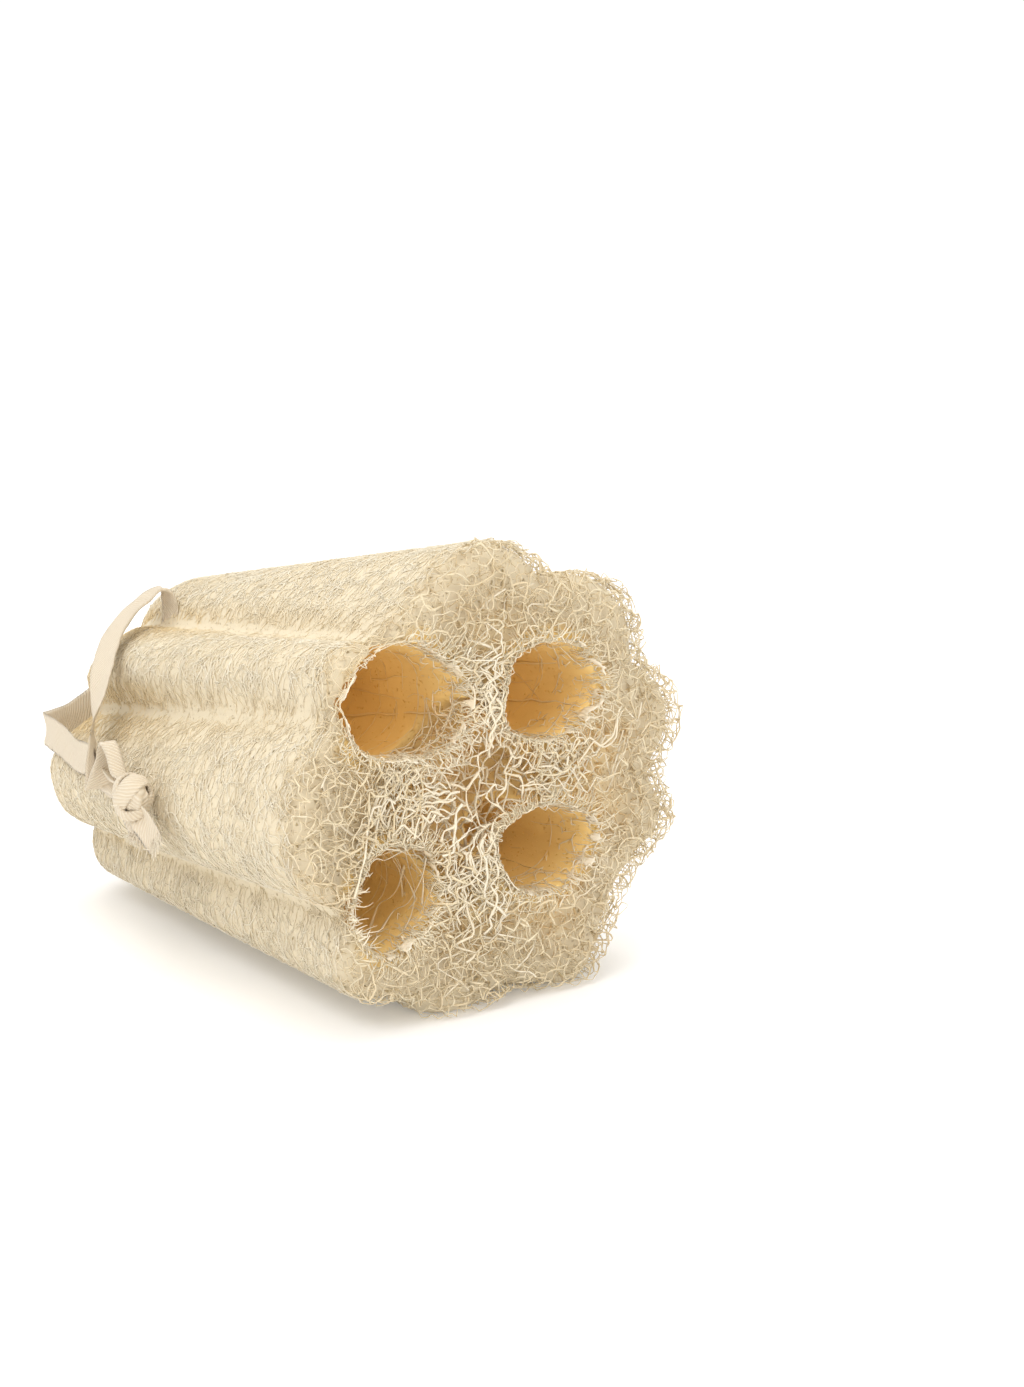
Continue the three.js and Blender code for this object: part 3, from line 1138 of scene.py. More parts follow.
@dataclass
class CutFaceNet(BodyPart):
    """Open three-dimensional net on the front cut, round the channel mouths."""

    form: LoofahForm
    rng: np.random.Generator
    deep: float = 7.0
    nets: tuple[tuple[str, float, float, tuple[float, float], bool], ...] = (
        ("cut_face_fine_net", 2.3, 1.0, (0.1, 0.18), False),
        ("cut_face_net", 3.2, 1.8, (0.15, 0.32), True),
    )
    curl: float = 0.28
    stout_reach: float = 36.0
    trials: int = 90000
    half: float = 62.0
    knots: int = 7000
    link_reach: float = 2.2
    floor: float = 1.9
    # The amber is painted shade deep in the cut.
    finish: FibreFinish = FibreFinish(
        "cut_fibre", (0.84, 0.73, 0.52), (0.76, 0.62, 0.40), (0.92, 0.63, 0.27)
    )

    def _places(self, crowd: float) -> Array:
        """Scatters places for knots over the cut.

        Args:
            crowd: Power that crowds them near the surface.

        Returns:
            Places, one a row.
        """
        form, count = self.form, self.trials
        x = self.rng.uniform(-self.half, self.half, count) + form.shift
        z = self.rng.uniform(-self.half, self.half, count) + form.axis(form.front)
        depth = self.deep * self.rng.random(count) ** crowd
        places = np.stack([x, np.full(count, form.front), z], -1)
        _, share = form.polar(places)
        wave = np.array([noise.noise(Vector((a * 0.09, 3.0, b * 0.09))) for a, b in zip(x, z)])
        places[:, 1] += form.front_inset(share) + depth + 1.4 * wave
        across = (x - form.shift - form.heart.x) / form.heart.w
        up = (z - form.axis(form.front) - form.heart.z) / form.heart.h
        solid = (form.mouth(places) > 1.0) & (np.hypot(across, up) > 0.72)
        return places[solid & (share < 0.985) & (z > self.floor)]

    def _middle(self, places: Array) -> Array:
        """Picks the places near the middle of the cut.

        Args:
            places: Places, one a row.

        Returns:
            True where a place is near the middle.
        """
        heart = self.form.heart
        across = places[:, 0] - self.form.shift - heart.x
        up = places[:, 2] - self.form.axis(self.form.front) - heart.z
        away = np.hypot(across, up + 6.0)
        return away < self.stout_reach + 9.0 * self.rng.normal(0.0, 1.0, len(places))

    def build(self) -> list[bpy.types.Object]:
        """Spins a fine net and a stouter one through its middle.

        Returns:
            One piece a net.
        """
        pieces = []
        for name, spacing, crowd, radius, middle_only in self.nets:
            fibres = FibreSet(name)
            places = self._places(crowd)
            if middle_only:
                places = places[self._middle(places)]
            knots = scatter(places, spacing, self.knots)
            Net(knots, self.rng, self.link_reach * spacing).draw(fibres, radius, self.curl)
            piece = fibres.build()
            places = corner_places(piece.data)
            _, share = self.form.polar(places)
            # Painted amber shade that grows with depth into the cut, more slowly towards the rim and
            # fading out there.
            depth = places[:, 1] - self.form.front - self.form.front_inset(share)
            reach = mix(3.0, 7.0, smooth_step(0.35, 0.8, share))
            amber = 0.9 * smooth_step(0.3, reach, depth)
            set_amber_shade(piece.data, amber * (1.0 - smooth_step(0.62, 0.88, share)))
            pieces.append(piece)
        return pieces


@dataclass
class RimNet(BodyPart):
    """Fine net that turns over the rim from the skin to the cut."""

    form: LoofahForm
    rng: np.random.Generator
    spacing: float = 2.4
    trials: int = 40000
    run: tuple[float, float] = (-13.0, 12.0)
    knots: int = 4500
    radius: tuple[float, float] = (0.11, 0.22)
    curl: float = 0.2
    finish: FibreFinish = FibreFinish(
        "rim_fibre", (0.83, 0.73, 0.53), (0.76, 0.62, 0.41), (0.72, 0.55, 0.30)
    )

    def build(self) -> list[bpy.types.Object]:
        """Spins the net over the rim.

        Returns:
            The piece, alone in a list.
        """
        form, count = self.form, self.trials
        turn = self.rng.uniform(0.0, 360.0, count)
        run = self.rng.uniform(*self.run, count)
        lift = self.rng.normal(-0.35, 0.2, count) - np.maximum(-run, 0.0)
        places = form.skin(turn, form.front + np.maximum(run, 0.15), lift)
        places[:, 1] += np.abs(self.rng.normal(0.3, 0.6, count))
        places = places[(form.mouth(places) > 1.02) & (places[:, 2] > 0.5)]
        fibres = FibreSet("rim_net")
        knots = scatter(places, self.spacing, self.knots)
        Net(knots, self.rng, 2.0 * self.spacing).draw(fibres, self.radius, self.curl, 7)
        piece = fibres.build()
        set_amber_shade(piece.data, np.zeros(len(piece.data.vertices)))
        return [piece]


@dataclass
class HeartLattice(BodyPart):
    """Stout pale strands that cross the open heart between the channels."""

    form: LoofahForm
    rng: np.random.Generator
    spacing: float = 3.5
    deep: float = 22.0
    trials: int = 30000
    overlap: float = 5.0
    knots: int = 1800
    radius: tuple[float, float] = (0.17, 0.36)
    # The amber is painted shade deep in the heart.
    finish: FibreFinish = FibreFinish(
        "heart_fibre", (0.88, 0.79, 0.62), (0.82, 0.70, 0.50), (0.80, 0.54, 0.24)
    )

    def build(self) -> list[bpy.types.Object]:
        """Spins the lattice.

        Returns:
            The piece, alone in a list.
        """
        form, count = self.form, self.trials
        heart = form.heart
        across = self.rng.uniform(-1.0, 1.0, count) * (heart.w + self.overlap)
        up = self.rng.uniform(-1.0, 1.0, count) * (heart.h + self.overlap)
        y = form.front + 0.6 + self.deep * self.rng.random(count) ** 1.3
        middle = form.axis(form.front) + heart.z
        places = np.stack([form.shift + heart.x + across, y, middle + up], -1)
        inside = np.hypot(across / (heart.w + 4.0), up / (heart.h + 4.0)) < 1.0
        knots = scatter(places[inside & (form.mouth(places) > 1.0)], self.spacing, self.knots)
        fibres = FibreSet("heart_lattice", 4)
        Net(knots, self.rng, 2.6 * self.spacing, 16).draw(fibres, self.radius, 0.15, 7, 3)
        piece = fibres.build()
        # Painted amber shade that deepens into the heart.
        depth = corner_places(piece.data)[:, 1] - form.front
        set_amber_shade(piece.data, 0.9 * smooth_step(3.0, 20.0, depth))
        return [piece]


@dataclass
class ChannelLining(BodyPart):
    """Fine net on the channel walls: close-meshed at the mouth, hoops further in."""

    form: LoofahForm
    rng: np.random.Generator
    spacing: float = 2.1
    mouth_deep: float = 16.0
    trials: int = 9000
    knots: int = 900
    net_radius: tuple[float, float] = (0.1, 0.22)
    rim_share: float = 0.94
    hoop_gap: float = 2.6
    rib_turn: float = 30.0
    flare: float = 4.0
    crossings: tuple[int, ...] = (0, 0, 16, 0)
    finish: FibreFinish = FibreFinish(
        "lining_fibre", (0.90, 0.81, 0.64), (0.86, 0.73, 0.51), (0.98, 0.74, 0.36)
    )

    def _mouth(self, fibres: FibreSet, index: int, start: float, inward: float) -> None:
        """Spins the net of one mouth.

        Args:
            fibres: Set that gets the strands.
            index: Number of the channel.
            start: Place of the cut along the length.
            inward: Way into the channel along the length.
        """
        count = self.trials
        flare = self.flare if inward > 0.0 else 0.0
        depth = (self.mouth_deep + flare) * self.rng.random(count) ** 1.2 - flare
        y = start + inward * np.maximum(depth, 0.0)
        lift = self.rng.normal(0.5, 0.35, count) + np.minimum(depth, 0.0)
        places = self.form.wall(index, self.rng.uniform(0.0, 360.0, count), y, lift)
        _, share = self.form.polar(places)
        knots = scatter(places[share < self.rim_share], self.spacing, self.knots)
        Net(knots, self.rng, 3.0 * self.spacing, 12).draw(fibres, self.net_radius, 0.2)

    def _ribs(self, fibres: FibreSet, index: int) -> None:
        """Lays part hoops round a channel and strands along it.

        Args:
            fibres: Set that gets the strands.
            index: Number of the channel.
        """
        form, rng = self.form, self.rng
        for row in np.arange(form.front + 4.0, form.back - 4.0, self.hoop_gap):
            turns = np.arange(0.0, rng.uniform(60.0, 200.0), 12.0) + rng.uniform(0.0, 360.0)
            slope = rng.normal(0.0, 5.0)
            y = row + slope * np.linspace(-1.0, 1.0, len(turns)) + rng.normal(0.0, 0.3, len(turns))
            y = np.clip(y, form.front + 1.5, form.back - 1.5)
            lift = mix(0.65, 1.05, form.share(y)) + rng.normal(0.0, 0.15, len(turns))
            places = form.wall(index, turns, y, lift)
            taper = np.sin(np.linspace(0.4, math.pi - 0.4, len(turns)))
            fibres.add(places, rng.uniform(0.1, 0.26) * taper)
        for turn in np.arange(0.0, 360.0, self.rib_turn):
            start = rng.uniform(1.5, 30.0)
            y = form.front + np.arange(start, start + rng.uniform(30.0, 110.0), 4.0)
            y = y[y < form.back - 2.0]
            wander = turn + rng.uniform(-6.0, 6.0) + np.cumsum(rng.normal(0.0, 2.6, len(y)))
            lift = mix(0.75, 1.15, form.share(y)) + rng.normal(0.0, 0.2, len(y))
            places = form.wall(index, wander, y, lift)
            thick = rng.uniform(0.15, 0.55) ** 1.4
            fibres.add(places, thick * np.sin(np.linspace(0.3, math.pi - 0.3, len(y))))

    def _crossings(self, fibres: FibreSet, index: int) -> None:
        """Lays bowed strands across a channel.

        Args:
            fibres: Set that gets the strands.
            index: Number of the channel.
        """
        form, rng = self.form, self.rng
        for _ in range(self.crossings[index]):
            y = form.front + rng.uniform(6.0, 30.0) + np.cumsum(rng.normal(0.0, 2.4, 5))
            turn = rng.uniform(0.0, 360.0) + np.cumsum(rng.uniform(15.0, 34.0, 5))
            lift = 0.6 + np.array([0.0, 2.2, 4.0, 2.2, 0.0]) * rng.uniform(0.4, 1.2)
            line = catmull_rom(form.wall(index, turn, y, lift), 4)
            waist = 1.25 - np.sin(np.linspace(0.0, math.pi, len(line)))
            fibres.add(line, rng.uniform(0.16, 0.4) * waist)

    def build(self) -> list[bpy.types.Object]:
        """Lines the channels.

        Returns:
            The piece, alone in a list.
        """
        fibres = FibreSet("channel_lining")
        for index in range(len(self.form.channels)):
            self._mouth(fibres, index, self.form.front + 0.8, 1.0)
            self._mouth(fibres, index, self.form.back - 0.8, -1.0)
            self._ribs(fibres, index)
            self._crossings(fibres, index)
        piece = fibres.build()
        # Painted amber shade that deepens into the channels from both cuts.
        y = corner_places(piece.data)[:, 1]
        depth = np.minimum(y - self.form.front, self.form.back - y)
        set_amber_shade(piece.data, smooth_step(6.0, 30.0, depth))
        return [piece]


@dataclass
class MouthFringe(BodyPart):
    """Fine combed fibres that turn from the cut over each mouth and down the channel wall."""

    form: LoofahForm
    rng: np.random.Generator
    strands: int = 280
    flare: tuple[float, float] = (0.5, 6.5)
    deep: tuple[float, float] = (2.0, 12.0)
    samples: int = 8
    rim_share: float = 0.94
    finish: FibreFinish = FibreFinish(
        "fringe_fibre", (0.90, 0.82, 0.64), (0.88, 0.76, 0.54), (0.97, 0.72, 0.34)
    )

    def _strand(self, index: int) -> Array:
        """Draws one fibre over the edge of a mouth.

        Args:
            index: Number of the channel.

        Returns:
            Places along it.
        """
        form, rng = self.form, self.rng
        run = np.linspace(0.0, 1.0, self.samples)
        bend = np.clip(run / 0.36, 0.0, 1.0)
        lift = rng.normal(0.75, 0.15) + rng.normal(0.0, 0.12, self.samples)
        lift = lift - rng.uniform(*self.flare) * (1.0 - bend) ** 1.5
        depth = 0.4 + rng.uniform(*self.deep) * np.clip((run - 0.16) / 0.84, 0.0, 1.0)
        turn = rng.uniform(0.0, 360.0) + np.cumsum(rng.normal(0.0, 2.6, self.samples))
        y = form.front + depth + rng.uniform(0.0, 1.6) * (1.0 - bend)
        return form.wall(index, turn, y, lift)

    def build(self) -> list[bpy.types.Object]:
        """Combs the fibres into the channels.

        Returns:
            The piece, alone in a list.
        """
        fibres = FibreSet("mouth_fringe")
        taper = np.sin(np.linspace(0.5, math.pi - 0.35, self.samples))
        for index in range(len(self.form.channels)):
            for _ in range(self.strands):
                places = self._strand(index)
                _, share = self.form.polar(places[:1])
                if self.form.mouth(places[:1])[0] > 1.0 and share[0] < self.rim_share:
                    fibres.add(places, self.rng.uniform(0.08, 0.17) * taper)
        piece = fibres.build()
        # Painted amber shade that deepens down the channel wall.
        depth = corner_places(piece.data)[:, 1] - self.form.front
        set_amber_shade(piece.data, smooth_step(5.0, 30.0, depth))
        return [piece]


@dataclass
class MouthFilm(BodyPart):
    """Pale torn film with holes round the mouth of each channel."""

    form: LoofahForm
    thick: float = 0.22
    deep: float = 10.0
    segments: tuple[int, int] = (150, 14)
    # Strength and reach of the painted amber shade inside the channel.
    deep_amber_shade: float = 0.6
    amber_shade_run: tuple[float, float] = (2.0, 9.0)
    finish: FibreFinish = FibreFinish(
        "film", (0.92, 0.84, 0.69), (0.86, 0.75, 0.56), (0.88, 0.64, 0.32), 0.55
    )

    def _sheet(self, film: bmesh.types.BMesh, index: int) -> None:
        """Bends one sheet round a mouth and tears holes in it.

        Args:
            film: Mesh that gets the sheet.
            index: Number of the channel.
        """
        made = bmesh.ops.create_grid(
            film, x_segments=self.segments[0], y_segments=self.segments[1], size=0.5
        )["verts"]
        gone = []
        for vert in made:
            turn = (vert.co.x + 0.5) * 360.0
            depth = (vert.co.y + 0.5) * self.deep - 0.6
            y = np.array(self.form.front + max(depth, 0.1))
            place = self.form.wall(index, np.array(turn), y, np.array(0.75 + 0.45 * min(depth, 0.0)))
            seed = Vector((place[0], place[1], place[2])) * 0.42
            hole = noise.noise(seed) + 0.35 * noise.noise(seed * 2.3)
            ragged = 0.22 * (depth - 1.6 * noise.noise(seed * 0.35)) - 1.25
            edge = 1.3 - 1.6 * depth + 2.6 * noise.noise(seed * 0.6 + Vector((9.0, 0.0, 0.0)))
            vert.co = Vector(place) * MM
            if hole > 0.1 or ragged > 0.0 or edge > 0.0:
                gone.append(vert)
        bmesh.ops.delete(film, geom=gone, context="VERTS")

    def build(self) -> list[bpy.types.Object]:
        """Bends perforated sheets round the mouths.

        Returns:
            The piece, alone in a list.
        """
        film = bmesh.new()
        for index in range(len(self.form.channels)):
            self._sheet(film, index)
        bmesh.ops.remove_doubles(film, verts=film.verts, dist=1e-5)
        loose = [vert for vert in film.verts if not vert.link_faces]
        bmesh.ops.delete(film, geom=loose, context="VERTS")
        for _ in range(2):
            bmesh.ops.smooth_vert(
                film, verts=film.verts, factor=0.5, use_axis_x=True, use_axis_y=True, use_axis_z=True
            )
        bmesh.ops.solidify(film, geom=film.faces[:], thickness=self.thick * MM)
        piece = to_piece("mouth_film", film)
        # Painted amber shade that deepens into the channel.
        depth = corner_places(piece.data)[:, 1] - self.form.front
        set_amber_shade(piece.data, self.deep_amber_shade * smooth_step(*self.amber_shade_run, depth))
        LOG.info("film: %d faces", len(piece.data.polygons))
        return [piece]


@dataclass
class Septa(BodyPart):
    """Stout strands along the walls between the channels, and a torn tuft."""

    form: LoofahForm
    rng: np.random.Generator
    spokes: tuple[tuple[float, float, int], ...] = (
        (92.0, 16.0, 60),
        (4.0, 15.0, 54),
        (182.0, 16.0, 54),
        (272.0, 20.0, 70),
    )
    tuft_at: tuple[int, float, float] = (2, 190.0, 34.0)
    tuft: int = 90
    finish: FibreFinish = FibreFinish(
        "septa_fibre", (0.90, 0.82, 0.66), (0.84, 0.73, 0.54), (0.84, 0.62, 0.32)
    )

    def _spoke(self, fibres: FibreSet, at: float, spread: float) -> None:
        """Lays one strand away from the heart.

        Args:
            fibres: Set that gets the strands.
            at: Mean angle round the heart in degrees.
            spread: Spread of the angle.
        """
        form, rng = self.form, self.rng
        count = int(rng.integers(7, 13))
        turn = np.radians(rng.normal(at, spread)) + np.cumsum(rng.normal(0.0, 0.1, count))
        away = rng.uniform(6.0, 26.0) + np.cumsum(rng.uniform(1.4, 2.8, count))
        middle = form.axis(form.front) + form.heart.z
        x = form.shift - 6.0 + away * np.cos(turn)
        places = np.stack([x, np.full(count, form.front), middle + away * np.sin(turn)], -1)
        _, share = form.polar(places)
        depth = rng.uniform(0.3, 2.6) + np.cumsum(rng.normal(0.0, 0.25, count))
        places[:, 1] += form.front_inset(share) + depth
        places[:, 1] = np.maximum(places[:, 1], form.front + 0.2)
        keep = (share < 0.95) & (form.mouth(places) > 1.01)
        if keep.sum() > 3:
            count = int(np.argmin(keep)) if not keep.all() else count
            if count > 3:
                line = catmull_rom(places[:count], 2)
                fibres.add(line, rng.uniform(0.14, 0.33) * (0.75 + 0.5 * rng.random(len(line))))

    def _spike(self, fibres: FibreSet) -> None:
        """Lays one fibre of the torn tuft.

        Args:
            fibres: Set that gets the strands.
        """
        index, at, spread = self.tuft_at
        turn = np.array(self.rng.normal(at, spread))
        y = np.array(self.form.front + self.rng.uniform(1.0, 7.0))
        root = self.form.wall(index, turn, y, np.array(-0.4))
        x, z, _, _ = self.form.section(index, np.array(root[1]))
        inward = np.array([x - root[0], 0.0, z - root[2]])
        inward /= np.linalg.norm(inward)
        way = inward * self.rng.uniform(0.2, 1.0) + np.array([0.0, -0.5, 0.0])
        way = way + self.rng.normal(0.0, 0.45, 3)
        steps = np.linspace(0.0, self.rng.uniform(1.5, 4.0), 5)[:, None]
        line = root + way * steps + self.rng.normal(0.0, 0.25, (5, 3)) * steps / 3.0
        line[:, 1] = np.maximum(line[:, 1], self.form.front + 0.1)
        fibres.add(line, self.rng.uniform(0.13, 0.26) * np.array([1.2, 1.0, 0.8, 0.6, 0.25]))

    def build(self) -> list[bpy.types.Object]:
        """Lays the strands.

        Returns:
            The piece, alone in a list.
        """
        fibres = FibreSet("septa_strands", 4)
        for at, spread, count in self.spokes:
            for _ in range(count):
                self._spoke(fibres, at, spread)
        for _ in range(self.tuft):
            self._spike(fibres)
        piece = fibres.build()
        set_amber_shade(piece.data, np.zeros(len(piece.data.vertices)))
        return [piece]


@dataclass
class FarEndNet(BodyPart):
    """Close net on the far cut."""

    form: LoofahForm
    rng: np.random.Generator
    spacing: float = 2.9
    deep: float = 6.0
    trials: int = 30000
    half: float = 48.0
    knots: int = 2200
    radius: tuple[float, float] = (0.22, 0.42)
    floor: float = 0.6
    # The dark amber is painted shade deep in the far cut.
    finish: FibreFinish = FibreFinish(
        "far_fibre", (0.86, 0.75, 0.56), (0.72, 0.57, 0.35), (0.46, 0.26, 0.07)
    )

    def build(self) -> list[bpy.types.Object]:
        """Spins the net.

        Returns:
            The piece, alone in a list.
        """
        form, count = self.form, self.trials
        x = self.rng.uniform(-self.half, self.half, count) + form.shift
        z = self.rng.uniform(-self.half, self.half, count) + form.axis(form.back)
        depth = self.deep * self.rng.random(count) ** 1.4
        places = np.stack([x, form.back - depth, z], -1)
        degrees, _ = form.polar(places)
        away = np.hypot(x - form.shift, z - form.axis(places[:, 1]))
        within = away < form.outer(degrees, places[:, 1])
        places = places[within & (form.mouth(places) > 1.0) & (z > self.floor)]
        fibres = FibreSet("far_end_net")
        knots = scatter(places, self.spacing, self.knots)
        Net(knots, self.rng, 3.0 * self.spacing).draw(fibres, self.radius, 0.18)
        piece = fibres.build()
        places = corner_places(piece.data)
        _, share = form.polar(places)
        # Painted dark amber shade that deepens into the far cut, fading out towards the rim.
        amber = 0.8 * smooth_step(1.0, 7.0, form.back - places[:, 1])
        set_amber_shade(piece.data, amber * (1.0 - smooth_step(0.72, 0.9, share)))
        return [piece]


@dataclass(frozen=True)
class TapeStep:
    """A place on the tape's route in millimetres and the way the flat face looks."""

    at: Triple
    face: Triple


@dataclass
class HangingTape:
    """Cotton twill tape: a loop through the far end, tied in one knot."""

    form: LoofahForm
    rng: np.random.Generator
    width: float = 8.0
    thick: float = 0.8
    threads: int = 46
    across: int = 8
    gathered: float = 62.0
    far_fold: float = 14.0
    wrap_fold: float = -24.0
    end_fold: float = 50.0
    core: Triple = (3.3, 5.2, 4.4)
    wraps: tuple[tuple[str, tuple[float, float], float, float, float], ...] = (
        ("tape_knot_a", (3.5, 4.7), 24.0, 10.0, 5.2),
        ("tape_knot_b", (3.9, 5.0), -36.0, -18.0, 4.0),
    )
    finish: TwillFinish = field(default_factory=TwillFinish)
    thread: FibreFinish = FibreFinish(
        "cotton_thread", (0.84, 0.76, 0.62), (0.80, 0.70, 0.54), (0.78, 0.66, 0.50)
    )
    route: tuple[TapeStep, ...] = (
        TapeStep((-55.6, 0, 45.2), (-0.9, 0.4, 0)),
        TapeStep((-54.6, 6, 47.8), (-0.6, 0.7, 0.3)),
        TapeStep((-53.8, 12, 55), (-0.5, 0.4, -0.7)),
        TapeStep((-54.2, 15, 49.5), (-0.5, -0.85, 0)),
        TapeStep((-54.8, 18, 42.8), (-0.4, 0, -0.9)),
        TapeStep((-52.8, 24, 47.5), (-0.5, 0.85, 0)),
        TapeStep((-48.6, 32, 53.5), (-0.8, 0.55, 0)),
        TapeStep((-43.8, 38, 59.8), (-0.95, 0.1, 0.2)),
        TapeStep((-39.4, 43.5, 67), (-0.85, -0.2, 0.5)),
        TapeStep((-32.4, 51, 73.6), (-0.7, 0, 0.7)),
        TapeStep((-25.8, 54.6, 78.2), (-0.55, 0.1, 0.83)),
        TapeStep((-20.8, 52.6, 82.6), (-0.5, 0.05, 0.86)),
        TapeStep((-16.8, 50.6, 84.8), (0.3, 0, 0.95)),
        TapeStep((-15.1, 50, 80), (1, 0, 0)),
        TapeStep((-15.9, 50, 72), (1, 0, 0)),
        TapeStep((-16.4, 50, 67.5), (1, 0, 0)),
        TapeStep((-15.6, 51.5, 62), (0.7, -0.7, 0)),
        TapeStep((-14, 57, 57.5), (0.2, -0.7, -0.7)),
        TapeStep((-13.2, 64, 56.5), (0, 0, -1)),
        TapeStep((-13.2, 71, 56.2), (0, 0.5, -0.86)),
        TapeStep((-15, 78.6, 54.4), (0.5, 0.85, -0.2)),
        TapeStep((-18.6, 82, 51.4), (0.3, 0.95, 0)),
        TapeStep((-27.4, 83.2, 46.4), (0, 1, 0)),
        TapeStep((-36.4, 79, 45.8), (-0.6, 0.8, 0)),
        TapeStep((-42.4, 70.5, 47.4), (-1, 0.2, 0)),
        TapeStep((-44.8, 62, 47.6), (-1, -0.1, 0.1)),
        TapeStep((-46.4, 52, 47.2), (-1, 0, 0.1)),
        TapeStep((-47.9, 43, 46), (-1, 0.1, 0)),
        TapeStep((-49.4, 34, 46.5), (-1, 0.15, 0)),
        TapeStep((-51.4, 23, 46), (-1, 0.2, 0)),
        TapeStep((-54.4, 10, 45.4), (-1, 0.15, 0)),
        TapeStep((-56, -2, 44.8), (-1, 0, 0)),
    )
    knot_at: Triple = (-57.0, -2.0, 44.8)
    ends: tuple[tuple[TapeStep, ...], ...] = (
        (
            TapeStep((-56.6, -3, 43.8), (-1, -0.2, 0.1)),
            TapeStep((-56.8, -7, 39.8), (-0.95, -0.3, 0)),
            TapeStep((-56, -11, 34.8), (-0.95, -0.2, -0.2)),
        ),
        (
            TapeStep((-56.6, -1, 43.8), (-1, 0, 0.1)),
            TapeStep((-57, -1.5, 39.3), (-1, 0.1, 0.1)),
            TapeStep((-56.4, -2.5, 34.3), (-1, 0.1, -0.2)),
        ),
    )

    def _line(self, steps: tuple[TapeStep, ...], per_step: int) -> tuple[Array, Array]:
        """Rounds the steps of a route.

        Args:
            steps: Steps in order.
            per_step: Places on each step.

        Returns:
            Places and the way the flat face looks at each.
        """
        shift = np.array([self.form.shift, 0.0, 0.0])
        places = catmull_rom(np.array([step.at for step in steps], float) + shift, per_step)
        faces = np.array([step.face for step in steps], float)
        spots = np.linspace(0.0, len(steps) - 1, len(places))
        facing = np.stack([np.interp(spots, np.arange(len(steps)), faces[:, k]) for k in range(3)], -1)
        return places, facing

    def _band(
        self,
        name: str,
        places: Array,
        facing: Array,
        width: float,
        fold: Array,
        closed: bool = False,
    ) -> bpy.types.Object:
        """Lays a band along a line, folded along its middle where it is gathered.

        Args:
            name: Name of the piece.
            places: Line in millimetres.
            facing: Way the flat face looks at each place.
            width: Width of the band.
            fold: Angle in degrees by which each half is folded up at each place.
            closed: True where the band meets itself.

        Returns:
            The piece.
        """
        tangent = np.gradient(places, axis=0)
        tangent /= np.linalg.norm(tangent, axis=1)[:, None]
        normal = facing - (facing * tangent).sum(1)[:, None] * tangent
        normal /= np.linalg.norm(normal, axis=1)[:, None]
        across = np.cross(tangent, normal)
        run = np.concatenate([[0.0], np.cumsum(np.linalg.norm(np.diff(places, axis=0), axis=1))])
        cloth = bmesh.new()
        bmesh.ops.create_grid(cloth, x_segments=len(places) - 1, y_segments=self.across, size=0.5)
        sheet = cloth.loops.layers.uv.new("tape")
        where = {}
        for vert in cloth.verts:
            row = round((vert.co.x + 0.5) * (len(places) - 1))
            side = vert.co.y
            where[vert] = (run[row] * MM, side * width * MM)
            crease = math.radians(fold[row])
            cup = 0.3 * (4.0 * side * side - 0.5) * math.sin(run[row] * 0.21)
            cup += 0.25 * noise.noise(Vector((run[row] * 0.3, side * 3.0, width)))
            cup += math.sin(crease) * (math.hypot(side, 0.08) - 0.2) * width
            place = places[row] + across[row] * side * width * math.cos(crease) + normal[row] * cup
            vert.co = Vector(place * MM)
        for face in cloth.faces:
            for loop in face.loops:
                loop[sheet].uv = where[loop.vert]
        if closed:
            bmesh.ops.remove_doubles(cloth, verts=cloth.verts, dist=1e-5)
        bmesh.ops.solidify(cloth, geom=cloth.faces[:], thickness=self.thick * MM)
        bmesh.ops.recalc_face_normals(cloth, faces=cloth.faces)
        return to_piece(name, cloth)

    def _wrap(
        self, name: str, radii: tuple[float, float], tilt: float, turn: float, width: float
    ) -> bpy.types.Object:
        """Lays one turn of the knot.

        Args:
            name: Name of the piece.
            radii: Half the turn's width and height.
            tilt: Lean in degrees.
            turn: Turn about the upright in degrees.
            width: Width of the band.

        Returns:
            The piece.
        """
        angle = np.linspace(0.0, 2.0 * math.pi, 65)
        dent = 1.0 + 0.07 * np.sin(3.0 * angle + tilt) + 0.04 * np.sin(5.0 * angle + turn)
        x, z = radii[0] * dent * np.cos(angle), radii[1] * dent * np.sin(angle)
        ring = np.stack([x, 0.5 * np.sin(2.0 * angle), z], -1)
        cos_z, sin_z = math.cos(math.radians(turn)), math.sin(math.radians(turn))
        cos_x, sin_x = math.cos(math.radians(tilt)), math.sin(math.radians(tilt))
        about_z = np.array([[cos_z, -sin_z, 0], [sin_z, cos_z, 0], [0, 0, 1]])
        about_x = np.array([[1, 0, 0], [0, cos_x, -sin_x], [0, sin_x, cos_x]])
        ring = ring @ (about_z @ about_x).T
        middle = np.array(self.knot_at) + np.array([self.form.shift, 0.0, 0.0])
        return self._band(name, middle + ring, ring, width, np.full(len(ring), self.wrap_fold), True)

    def _core(self) -> bpy.types.Object:
        """Presses the creased lump inside the knot.

        Returns:
            The piece.
        """
        ball = bmesh.new()
        bmesh.ops.create_icosphere(ball, subdivisions=4, radius=1.0)
        sheet = ball.loops.layers.uv.new("tape")
        middle = Vector(self.knot_at) + Vector((self.form.shift, 0.0, 0.0))
        for face in ball.faces:
            for loop in face.loops:
                loop[sheet].uv = (loop.vert.co.y * 0.005, loop.vert.co.z * 0.005)
        for vert in ball.verts:
            crease = 1.0 + 0.16 * noise.noise(vert.co * 2.2) + 0.08 * noise.noise(vert.co * 5.0)
            size = Vector(self.core)
            vert.co = (middle + Vector(a * b for a, b in zip(vert.co, size)) * crease) * MM
        return to_piece("tape_knot_core", ball)

